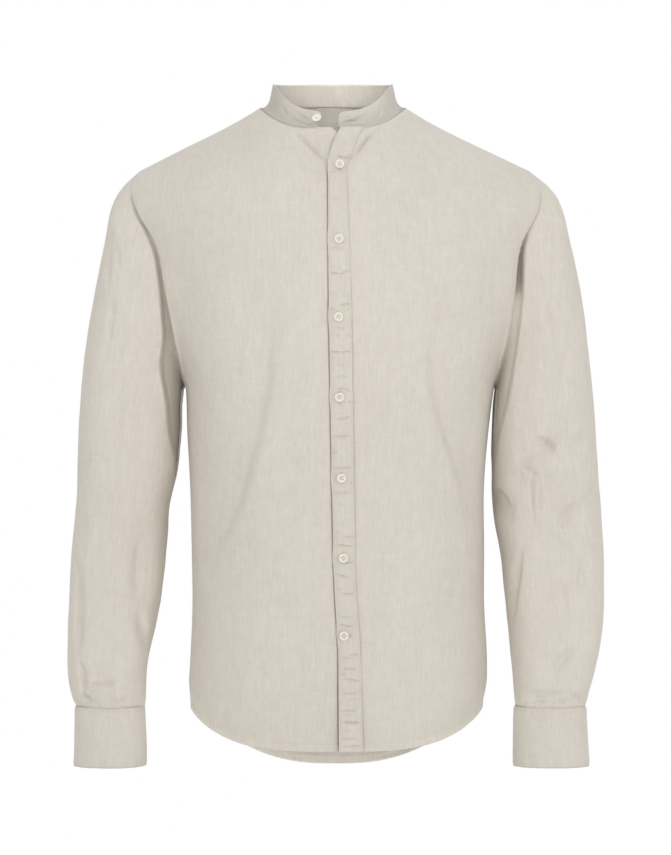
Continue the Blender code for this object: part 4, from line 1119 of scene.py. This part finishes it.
def makeSleeve(sideName):
    side = sides[sideName]
    points = sleevePoint(sideName, ringPlaces(), sleeveAngles()[None, :])
    inward, seam = -outwardNormals(points, closed=True), armOutward(side)
    inward[0] = unit(armCentre(side) - points[0])
    inward[0] -= np.outer(inward[0] @ seam, seam)
    inward[0] = unit(inward[0])
    inward[-1] = levelDirection(inward[-1])
    tuckIn, tuckUnder = sleeve["underPanels"]
    points[0] += inward[0] * tuckIn - seam * tuckUnder
    points[-1, :, 2] -= sleeve["underCuff"]
    threads = sleeveThreads(side, points)
    piece = clothShell(sideName + "Sleeve", points, inward, body["cloth"], 2.0 + 0.4 * side, True, threads)
    keep(piece, linen, "sleeve_" + sideName, flat=(0.46, 0.64), area=0.215)


# Cuffs: bands round the wrists whose ends lap at the back, over a strip that finishes the slit

cuff = {
    "thickness": 0.0022,
    "overlap": math.radians(34),
    "lapLift": 0.0026,        # how far the outer end lies off the inner one, and where it rises
    "lapStart": math.radians(50),
    "lapReach": math.radians(46),
    "around": 0.036,          # distance along it for each radian
    "opening": math.radians(300),
    "squareness": 2.12,
    "rows": 20,
    "columns": 190,
    "stitchInset": 0.0048,
    "groove": 0.0003,         # how deep and wide its stitches pull in
    "grooveWidth": 0.0007,
    "topDip": 0.0005,         # how deep its top edge sinks where the sleeve is gathered
    "pucker": 0.0009,
    "puckerPitch": 0.011,
    "soft": 0.0011,
    "softPitch": 0.024,
}
cuffNames = ("topIn", "topOut", "footIn", "footOut", "topY", "footY", "depth")
cuffRows = {
    "right": (215, 295.7, 214.8, 295.7, -45, -51, 34.5),
    "left": (202.6, 285, 201.2, 286.7, -45, -51, 34.5),
}


def cuffPoint(sideName, angle, down, lift=0.0):
    row = {name: value / 1000 for name, value in zip(cuffNames, cuffRows[sideName])}
    inner, outer = mix(row["topIn"], row["footIn"], down), mix(row["topOut"], row["footOut"], down)
    middle, half = (inner + outer) / 2, (outer - inner) / 2 + lift
    bend = squarer(angle, cuff["squareness"])
    x = (middle + half * np.cos(angle) * bend) * sides[sideName]
    y = mix(row["topY"], row["footY"], down) - (row["depth"] + lift) * np.sin(angle) * bend
    z = mix(sleeve["cuffTopZ"], sleeve["cuffFootZ"], down)
    return np.stack(np.broadcast_arrays(x, y, z), axis=-1)


def cuffGrid(sideName):
    turned = np.linspace(0.0, 2 * math.pi + cuff["overlap"], cuff["columns"] + 1)[None, :]
    down = np.linspace(0.0, 1.0, cuff["rows"] + 1)[:, None]
    over = cuff["lapLift"] * ease((turned - 2 * math.pi + cuff["lapStart"]) / cuff["lapReach"])
    points = cuffPoint(sideName, cuff["opening"] - cuff["overlap"] / 2 + turned, down, over)
    outward = outwardOfCuff(points, sideName)
    tall = sleeve["cuffTopZ"] - sleeve["cuffFootZ"]
    fromTop, fromFoot, along = down * tall, (1 - down) * tall, turned * cuff["around"]
    single = ease((turned - cuff["overlap"] - 0.25) / 0.4) * ease((2 * math.pi - 0.3 - turned) / 0.4)
    sewn = sum(bell(away - cuff["stitchInset"], cuff["grooveWidth"]) for away in (fromTop, fromFoot))
    waves = roughLine(along + 0.25 * fromTop, cuff["puckerPitch"], 61.0 + len(sideName))
    atEdge = np.exp(-fromTop / 0.008) + 0.8 * np.exp(-fromFoot / 0.008)
    soft = roughLine(along * 0.8 - 0.5 * fromTop, cuff["softPitch"], 67.0 + len(sideName))
    relief = (cuff["pucker"] * waves * atEdge + cuff["soft"] * soft) * single
    relief = relief - cuff["topDip"] * (1 + 1.2 * waves) * np.exp(-fromTop / 0.0016)
    relief = relief - cuff["groove"] * sewn * (0.4 + 0.6 * single)
    return points + relief[..., None] * outward, outward


def outwardOfCuff(points, sideName):
    return levelDirection(np.cross(np.gradient(points, axis=1), (0, 0, -sides[sideName])))


def makeCuff(sideName):
    points, outward = cuffGrid(sideName)
    inset = cuff["stitchInset"]
    sewn = sewEdges(sideName + "CuffStitches", points, outward,
                    ("top", inset), ("foot", inset), ("end", inset))
    piece = clothShell(sideName + "Cuff", points, -outward, cuff["thickness"], 3.1)
    keep(piece, linenBand, "cuff_" + sideName, flat=(0.0675, 0.26), rests=(sideName + "Sleeve",),
         extras=(sewn,))


vent = {    # the strip on each slit: its rows from and to along the sleeve, and its angles
    "along": (7.5, 11.0, 60),
    "angles": (285.0, 315.0, 20),
    "stitchInset": 0.0020,
    "armMiddle": (0.25, -0.03),    # the middle of the arm there, out and towards the back
}


def makeVent(sideName):
    along, angle = np.linspace(*vent["along"])[:, None], np.radians(np.linspace(*vent["angles"]))[None, :]
    under = sleevePoint(sideName, along, angle)
    outward = unit(np.cross(np.gradient(under, axis=1), np.gradient(under, axis=0)))
    out, back = vent["armMiddle"]
    away = under.mean(axis=(0, 1)) - (sides[sideName] * out, back, under[..., 2].mean())
    outward = outward * np.sign((outward * away).sum())
    outward[-1] = levelDirection(outward[-1])
    points, inset = under + outward * placket["lift"], vent["stitchInset"]
    sewn = sewEdges(sideName + "SlitStitches", points, outward,
                    ("start", inset), ("top", inset), ("end", inset))
    piece = clothShell(sideName + "SleevePlacket", points, -outward, body["cloth"], 3.7)
    keep(piece, linen, "sleeve_placket_" + sideName, flat=(0.028, 0.098), rests=(sideName + "Sleeve",),
         extras=(sewn,))


# Buttons, their holes and the sewing

button = {
    "radius": 0.0053,
    "thickness": 0.0025,
    "rim": 0.0016,
    "dish": 0.0010,           # how deep the middle lies below the rim
    "holeRadius": 0.00080,
    "holeOut": 0.00125,       # from the middle to each hole, across and along
    "gap": 0.0010,
    "threadRadius": 0.00026,
    "collarX": -0.0188,       # across the collar's front, and its share of the height
    "collarUp": 0.47,
    "collarLift": 0.0005,     # how far its foot stands off the collar
    "strandDepth": 0.00042,   # how far the thread sinks below the dish
    "bevel": math.radians(38),
}
buttonRows = np.array((    # how far each is below the neck, and its distance from the middle
    (65.1, 4), (148.4, 3.8), (235, 3.4), (323.4, 4.5), (412.9, 6.7), (501.6, 8.8), (588, 9.4),
)) / 1000
buttonhole = {
    "length": 0.0132,
    "width": 0.0028,
    "bead": 0.00062,
    "beadPitch": 0.00055,
    "height": 0.00050,
    "collarX": 0.0230,
    "lowestShift": 0.0022,    # the lowest one lies level, off its button's middle
}
sewing = {"pitch": 0.0027, "length": 0.0019, "width": 0.00042, "height": 0.00034, "lift": 0.00004}


def buttonMesh():
    radius, thick, dish = button["radius"], button["thickness"], button["dish"]
    inner = radius - button["rim"]
    profile = (
        (0.0, thick - dish), (inner - 0.0009, thick - dish), (inner - 0.0005, thick - dish * 0.86),
        (inner, thick - dish * 0.35), (inner + 0.0003, thick - dish * 0.08), (inner + 0.0007, thick),
        (radius - 0.0006, thick - 0.00008), (radius - 0.0002, thick - 0.0004), (radius, thick - 0.0009),
        (radius - 0.0003, 0.0006), (radius - 0.0010, 0.00012), (radius - 0.0016, 0.0), (0.0, 0.0),
    )
    bm = bmesh.new()
    line = [bm.verts.new((out, 0, up)) for out, up in profile]
    edge = [bm.edges.new(pair) for pair in zip(line, line[1:])]
    bmesh.ops.spin(bm, geom=line + edge, cent=(0, 0, 0), axis=(0, 0, 1), angle=2 * math.pi,
                   steps=40, use_merge=True)
    bmesh.ops.remove_doubles(bm, verts=bm.verts, dist=1e-6)
    bmesh.ops.recalc_face_normals(bm, faces=bm.faces)
    disc = pieceFrom("buttonDisc", bm)
    holes = bmesh.new()
    for i in range(4):
        hole = bmesh.ops.create_cone(holes, cap_ends=True, segments=14, radius1=button["holeRadius"],
                                     radius2=button["holeRadius"], depth=4 * thick)
        turn = math.pi / 4 + math.pi / 2 * i
        place = Vector((math.cos(turn), math.sin(turn), 0)) * button["holeOut"] * math.sqrt(2)
        bmesh.ops.translate(holes, verts=hole["verts"], vec=place)
    cutter = pieceFrom("threadHoles", holes)
    cut = disc.modifiers.new("holes", "BOOLEAN")
    cut.operation, cut.object = "DIFFERENCE", cutter
    bpy.context.view_layer.update()
    mesh = bpy.data.meshes.new_from_object(disc.evaluated_get(bpy.context.evaluated_depsgraph_get()))
    mesh.name = "shirtButton"
    for helper in (disc, cutter):
        bpy.data.objects.remove(helper)
    return mesh


def standing(place, normal, up=(0.0, 0.0, 1.0)):    # a frame on the cloth whose Z is its normal
    out = Vector(normal).normalized()
    across = Vector(up).cross(out).normalized()
    turn = Matrix((across, out.cross(across), out)).transposed().to_4x4()
    return Matrix.Translation(Vector(place)) @ turn


def makeButton(name, node, mesh, place, normal, turn):
    gap, out, radius = button["gap"], button["holeOut"], button["threadRadius"]
    at = standing(place, normal) @ Matrix.Translation((0, 0, gap)) @ Matrix.Rotation(turn, 4, "Z")
    bm = bmesh.new()
    bm.from_mesh(mesh)
    bmesh.ops.transform(bm, matrix=at, verts=bm.verts)
    disc = pieceFrom(name, bm)
    disc.data.shade_smooth()
    disc.data.set_sharp_from_angle(angle=button["bevel"])
    keep(disc, shellButton, node)
    bm = bmesh.new()
    up = button["thickness"] - button["dish"] - button["strandDepth"]
    size = Matrix.Diagonal((radius, out + 0.0001, 0.0006, 1.0))
    for side in (-1, 1):
        for strand in (-0.55, 0.55):
            bow = at @ Matrix.Translation((side * out + strand * radius, 0, up)) @ size
            bmesh.ops.create_uvsphere(bm, u_segments=8, v_segments=8, radius=1.0, matrix=bow)
    shank = at @ Matrix.Translation((0, 0, -gap / 2)) @ Matrix.Diagonal((0.0016, 0.0016, 0.0006, 1.0))
    bmesh.ops.create_uvsphere(bm, u_segments=10, v_segments=6, radius=1.0, matrix=shank)
    thread = pieceFrom(name + "Thread", bm)
    thread.data.shade_smooth()
    keep(thread, sewingThread)


def addStitch(bm, place, along, normal):
    ahead = Vector(along).normalized()
    out = (Vector(normal) - ahead * Vector(normal).dot(ahead)).normalized()
    turn = Matrix((ahead, out.cross(ahead), out)).transposed().to_4x4()
    size = Matrix.Diagonal((sewing["length"] / 2, sewing["width"] / 2, sewing["height"] / 2, 1.0))
    bmesh.ops.create_icosphere(bm, subdivisions=1, radius=1.0, matrix=Matrix.Translation(place) @ turn @ size)


def stitchAlong(bm, line, normals):    # a row of stitches that lies on a line of points
    far = running(np.linalg.norm(np.diff(line, axis=0), axis=1))
    count = max(int(far[-1] / sewing["pitch"]), 1)
    for place in (np.arange(count) + 0.5) * far[-1] / count:
        spot, ahead, behind, out = (
            np.array([np.interp(place + shift, far, values[:, i]) for i in range(3)])
            for shift, values in ((0, line), (0.001, line), (-0.001, line), (0, normals)))
        if np.linalg.norm(ahead - behind) > 1e-6:
            addStitch(bm, spot + unit(out) * sewing["lift"], ahead - behind, out)


def stitchPiece(name, lines):
    bm = bmesh.new()
    for line, normals in lines:
        stitchAlong(bm, line, normals)
    piece = pieceFrom(name, bm)
    piece.data.shade_smooth()
    keep(piece, sewingThread)
    return piece


def edgeLine(points, normals, edge, inset):    # a line of a grid at an inset from one of its edges
    if edge in ("top", "foot"):
        points, normals = points.transpose(1, 0, 2), normals.transpose(1, 0, 2)
    last, fromEnd = points.shape[1] - 1, edge in ("foot", "end")
    ordered = points[:, ::-1] if fromEnd else points
    far = running(np.linalg.norm(np.diff(ordered, axis=1), axis=2).mean(axis=0))
    index = np.interp(inset, far, np.arange(last + 1))
    index = last - index if fromEnd else index
    low = int(min(index, last - 1))
    return tuple(mix(grid[:, low], grid[:, low + 1], index - low) for grid in (points, normals))


def sewEdges(name, points, outward, *rows):
    return stitchPiece(name, [edgeLine(points, outward, edge, inset) for edge, inset in rows])


def makeButtonhole(bm, place, normal, level=False, shift=0.0):
    half, curve = buttonhole["length"] / 2, buttonhole["width"] / 2
    count = int((buttonhole["length"] - buttonhole["width"]) / buttonhole["beadPitch"])
    beads = [(side * curve * 0.62, mix(-half + curve, half - curve, i / count), 0.0)
             for side in (-1, 1) for i in range(count + 1)]
    beads += [(mix(-curve, curve, i / 4) * 0.8, end * (half - curve * 0.4), math.pi / 2)
              for end in (-1, 1) for i in range(5)]
    size = Matrix.Diagonal((curve * 0.62, buttonhole["bead"] / 2, buttonhole["height"] / 2, 1.0))
    at = standing(place, normal) @ Matrix.Translation((shift, 0, 0.0001))
    at = at @ Matrix.Rotation(math.pi / 2 if level else 0.0, 4, "Z")
    for x, y, twist in beads:
        spot = at @ Matrix.Translation((x, y, 0)) @ Matrix.Rotation(twist, 4, "Z") @ size
        bmesh.ops.create_icosphere(bm, subdivisions=1, radius=1.0, matrix=spot)


def placketSurface(drop, x):    # the point under the middle of a button, and its normal
    u, z = (x - torso("sway", -drop)) / torso("half", -drop), np.array(-drop)
    lift = placket["lift"] + placket["buttonLift"] + placket["puff"] + 0.6 * placket["pucker"]
    return torsoPoint("front", u, z, lift), torsoNormal("front", np.array(u), z)


def collarSurface(x):
    up, turn = button["collarUp"], collarTurn(x, 1 if x > 0 else -1)
    around = np.array((turn - 0.02, turn, turn + 0.02))[None, :]
    patch = collarBase(around, np.array((up + 0.1, up, up - 0.1))[:, None])
    normal = unit(np.cross(patch[1, 2] - patch[1, 0], patch[2, 1] - patch[0, 1]))
    return patch[1, 1], normal if normal[1] < 0 else -normal


def cuffSurface(sideName):
    angle, lift = cuff["opening"] + cuff["overlap"] / 4, cuff["lapLift"]
    behind, place, ahead = (cuffPoint(sideName, angle + turn, 0.5, lift) for turn in (-0.05, 0.0, 0.05))
    normal = unit(np.cross(ahead - behind, (0, 0, 1)) * sides[sideName])
    return place, normal if normal[1] > 0 else -normal


def makeButtons():
    mesh = buttonMesh()
    holes = bmesh.new()
    for number, row in enumerate(buttonRows, 1):
        place, normal = placketSurface(*row)
        makeButton(f"button{number}", f"button_{number}", mesh, place, normal, 0.35 * number)
        lowest = number == len(buttonRows)
        makeButtonhole(holes, place, normal, lowest, buttonhole["lowestShift"] if lowest else 0.0)
    place, normal = collarSurface(button["collarX"])
    makeButton("collarButton", "button_collar", mesh, place + normal * button["collarLift"], normal, 0.2)
    makeButtonhole(holes, *collarSurface(buttonhole["collarX"]), level=True)
    for sideName in sides:
        place, normal = cuffSurface(sideName)
        makeButton(sideName + "CuffButton", "cuff_button_" + sideName, mesh, place, normal, 0.5)
        makeButtonhole(holes, place, normal, level=True)
    piece = pieceFrom("buttonholes", holes)
    piece.data.shade_smooth()
    keep(piece, sewingThread)
    bpy.data.meshes.remove(mesh)


# Finishes. The cloth's own attribute gives the distance across and along its threads.

linenLook = {
    "light": (0.715, 0.668, 0.600),
    "dark": (0.600, 0.552, 0.480),
    "pitch": 0.00055,
    "relief": 0.00007,
    "patchy": 0.95,
    "roughness": (0.94, 0.80),
    "streaks": (    # scale across and along the threads, detail, roughness, strength
        ((640.0, 88.0, 31.0), 2.5, 0.6, 0.95),
        ((390.0, 24.0, 53.0), 3.0, 0.7, 0.80),
        ((64.0, 640.0, 37.0), 2.5, 0.6, 0.62),
    ),
    "slubs": (480.0, 75.0, 43.0),
}
collarPaintedShadeY = (-0.010, 0.060)    # from and to where the collar's painted shade fades out, front to back
cloths = {    # share of the colour, depth of the crumple, and the share behind the front half where it differs; the collar's darker front half is painted shade
    "linenCloth": (1.0, 0.00040, None),
    "linenBand": (0.98, 0.00022, None),
    # the collar's front half is darkened by painted shade, and is lighter behind
    "collarLinenPaintedShade": (0.77, 0.00022, 0.95),
}
buttonLook = {"dark": (0.745, 0.706, 0.598), "light": (0.872, 0.836, 0.735), "coat": 0.25,
              "roughness": (0.26, 0.40), "cloud": 420.0, "grain": 1500.0, "relief": 0.00003}
threadLook = {"dark": (0.520, 0.475, 0.405), "light": (0.700, 0.655, 0.580),
              "roughness": (0.62, 0.80), "twist": 2600.0, "relief": 0.00006}


def newGroup(name, inputs, outputs):
    group = bpy.data.node_groups.new(name, "ShaderNodeTree")
    for title, kind, value in inputs:
        socket = group.interface.new_socket(name=title, in_out="INPUT", socket_type=kind)
        if value is not None:
            socket.default_value = value
    for title in outputs:
        group.interface.new_socket(name=title, in_out="OUTPUT", socket_type="NodeSocketFloat")
    return group, group.nodes.new("NodeGroupInput").outputs, group.nodes.new("NodeGroupOutput").inputs


def feed(tree, socket, value):
    if isinstance(value, bpy.types.NodeSocket):
        tree.links.new(value, socket)
    else:
        socket.default_value = value


def reckon(tree, operation, *values):
    node = tree.nodes.new("ShaderNodeMath")
    node.operation = operation
    for socket, value in zip(node.inputs, values):
        feed(tree, socket, value)
    return node.outputs[0]


def stretched(tree, vector, scale):
    node = tree.nodes.new("ShaderNodeVectorMath")
    node.operation = "MULTIPLY"
    tree.links.new(vector, node.inputs[0])
    node.inputs[1].default_value = scale
    return node.outputs[0]


def rough(tree, vector, scale, detail, roughness=0.5):    # a noise texture's value
    node = tree.nodes.new("ShaderNodeTexNoise")
    tree.links.new(vector, node.inputs["Vector"])
    for name, value in (("Scale", scale), ("Detail", detail), ("Roughness", roughness)):
        node.inputs[name].default_value = value
    return node.outputs["Fac"]


def ranged(tree, value, low, high, to=(0.0, 1.0)):
    node = tree.nodes.new("ShaderNodeMapRange")
    tree.links.new(value, node.inputs["Value"])
    for name, limit in (("From Min", low), ("From Max", high), ("To Min", to[0]), ("To Max", to[1])):
        node.inputs[name].default_value = limit
    return node.outputs["Result"]


def scaled(tree, value, middle, size):    # how far a value is from its middle, times size
    return reckon(tree, "MULTIPLY", reckon(tree, "SUBTRACT", value, middle), size)


def weaveGroup():    # a plain weave of uneven threads
    group, given, made = newGroup("linenWeave", (
        ("Threads", "NodeSocketVector", None), ("Pitch", "NodeSocketFloat", linenLook["pitch"])),
        ("Tone", "Height"))
    split = group.nodes.new("ShaderNodeSeparateXYZ")
    group.links.new(given["Threads"], split.inputs[0])
    waves = []
    for axis in ("X", "Y"):
        turns = reckon(group, "DIVIDE", split.outputs[axis], given["Pitch"])
        waves.append(reckon(group, "SINE", reckon(group, "MULTIPLY", turns, math.pi)))
    crossing = reckon(group, "MULTIPLY", *waves)
    warp = reckon(group, "ADD", reckon(group, "ABSOLUTE", waves[0]), crossing)
    weft = reckon(group, "SUBTRACT", reckon(group, "ABSOLUTE", waves[1]), crossing)
    weave = reckon(group, "MULTIPLY", reckon(group, "MAXIMUM", warp, weft), 0.5)
    parts = []
    for stretch, detail, roughness, strength in linenLook["streaks"]:
        streaks = rough(group, stretched(group, given["Threads"], stretch), 1.0, detail, roughness)
        parts.append(scaled(group, streaks, 0.5, strength))
    uneven = reckon(group, "ADD", reckon(group, "ADD", *parts[:2]), parts[2])
    slubs = rough(group, stretched(group, given["Threads"], linenLook["slubs"]), 1.0, 1.0)
    slubs = ranged(group, slubs, 0.60, 0.74)
    tone = reckon(group, "ADD", reckon(group, "ADD", uneven, scaled(group, weave, 0.45, 0.22)), 0.5)
    group.links.new(reckon(group, "ADD", tone, reckon(group, "MULTIPLY", slubs, 0.14)), made["Tone"])
    height = reckon(group, "ADD", weave, reckon(group, "MULTIPLY", uneven, 1.2))
    group.links.new(reckon(group, "ADD", height, reckon(group, "MULTIPLY", slubs, 0.8)), made["Height"])
    return group


def crumpleGroup():    # soft unevenness of handled cloth, and faint patches
    place = (("Place", "NodeSocketVector", None),)
    group, given, made = newGroup("softCrumple", place, ("Height", "Patches"))
    flat = stretched(group, given["Place"], (1.0, 1.0, 0.62))
    large = rough(group, flat, 70.0, 3.0, 0.55)
    small = rough(group, flat, 260.0, 2.0, 0.5)
    group.links.new(reckon(group, "ADD", large, reckon(group, "MULTIPLY", small, 0.22)), made["Height"])
    patches = reckon(group, "MULTIPLY", rough(group, flat, 9.0, 2.0), 0.55)
    blotches = reckon(group, "MULTIPLY", rough(group, flat, 95.0, 2.0), 0.45)
    group.links.new(reckon(group, "ADD", patches, blotches), made["Patches"])
    return group


def newMaterial(name):
    material = bpy.data.materials.new(name)
    material.use_nodes = True
    tree = material.node_tree
    return material, tree, tree.nodes["Principled BSDF"]


def bumped(tree, shader, height, distance):
    bump = tree.nodes.new("ShaderNodeBump")
    bump.inputs["Distance"].default_value = distance
    tree.links.new(height, bump.inputs["Height"])
    tree.links.new(bump.outputs["Normal"], shader.inputs["Normal"])


def placed(tree, group, vector):
    node = tree.nodes.new("ShaderNodeGroup")
    node.node_tree = group
    tree.links.new(vector, node.inputs[0])
    return node


def mixColour(tree, factor, dark, light):
    node = tree.nodes.new("ShaderNodeMix")
    node.data_type = "RGBA"
    feed(tree, node.inputs[0], factor)
    for socket, colour in ((node.inputs[6], dark), (node.inputs[7], light)):
        feed(tree, socket, colour if isinstance(colour, bpy.types.NodeSocket) else (*colour, 1.0))
    return node.outputs[2]


def clothMaterial(name):
    shade, crumpleDepth, shadeBehind = cloths[name]
    material, tree, shader = newMaterial(name)
    threads = tree.nodes.new("ShaderNodeAttribute")
    threads.attribute_name = "weave"
    coordinates = tree.nodes.new("ShaderNodeTexCoord")
    woven = placed(tree, weave, threads.outputs["Vector"])
    woven.inputs["Pitch"].default_value = linenLook["pitch"]
    handled = placed(tree, crumple, coordinates.outputs["Object"])
    patches = scaled(tree, handled.outputs["Patches"], 0.5, linenLook["patchy"])
    tone = reckon(tree, "ADD", woven.outputs["Tone"], patches)
    colours = [mixColour(tree, tone, *([channel * share for channel in linenLook[end]]
                                       for end in ("dark", "light")))
               for share in (shade, shadeBehind or shade)]
    # painted shade: the front half is darker, fading out towards the back
    if shadeBehind:
        split = tree.nodes.new("ShaderNodeSeparateXYZ")
        tree.links.new(coordinates.outputs["Object"], split.inputs[0])
        colours = [mixColour(tree, ranged(tree, split.outputs["Y"], *collarPaintedShadeY), *colours)]
    tree.links.new(colours[0], shader.inputs["Base Color"])
    tree.links.new(ranged(tree, tone, 0.0, 1.0, linenLook["roughness"]), shader.inputs["Roughness"])
    deep = reckon(tree, "MULTIPLY", handled.outputs["Height"], crumpleDepth / linenLook["relief"])
    bumped(tree, shader, reckon(tree, "ADD", woven.outputs["Height"], deep), linenLook["relief"])
    for title, value in (("Specular IOR Level", 0.25), ("Sheen Weight", 0.18), ("Sheen Roughness", 0.5)):
        shader.inputs[title].default_value = value
    return material


def buttonMaterial():
    material, tree, shader = newMaterial("shellButton")
    coordinates = tree.nodes.new("ShaderNodeTexCoord").outputs["Object"]
    cloudy = rough(tree, stretched(tree, coordinates, (1.0, 1.0, 2.2)), buttonLook["cloud"], 3.0, 0.6)
    colour = mixColour(tree, cloudy, buttonLook["dark"], buttonLook["light"])
    tree.links.new(colour, shader.inputs["Base Color"])
    tree.links.new(ranged(tree, cloudy, 0.3, 0.7, buttonLook["roughness"]), shader.inputs["Roughness"])
    bumped(tree, shader, rough(tree, coordinates, buttonLook["grain"], 3.0), buttonLook["relief"])
    shader.inputs["Coat Weight"].default_value = buttonLook["coat"]
    return material


def threadMaterial():
    material, tree, shader = newMaterial("sewingThread")
    coordinates = tree.nodes.new("ShaderNodeTexCoord").outputs["Object"]
    twist = rough(tree, coordinates, threadLook["twist"], 2.0)
    colour = mixColour(tree, twist, threadLook["dark"], threadLook["light"])
    tree.links.new(colour, shader.inputs["Base Color"])
    tree.links.new(ranged(tree, twist, 0.3, 0.7, threadLook["roughness"]), shader.inputs["Roughness"])
    bumped(tree, shader, twist, threadLook["relief"])
    return material


def keep(piece, material, *nodes, flat=None, area=None, rests=(), extras=()):
    piece.data.materials.clear()
    piece.data.materials.append(material)
    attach(piece, "root")
    if nodes:
        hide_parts(*nodes)


weave, crumple = weaveGroup(), crumpleGroup()
linen, linenBand, collarLinenPaintedShade = (clothMaterial(name) for name in cloths)
shellButton, sewingThread = buttonMaterial(), threadMaterial()

makeCamera()
makeLights()
makeRoom()
makeFloor()
print("fronts and back")
makeFront(-1)
makeFront(1)
makeBack()
print("placket")
makePlacket()
print("collar")
makeCollar()
for sideName in sides:
    print(sideName, "sleeve")
    makeSleeve(sideName)
    makeCuff(sideName)
    makeVent(sideName)
print("buttons")
makeButtons()
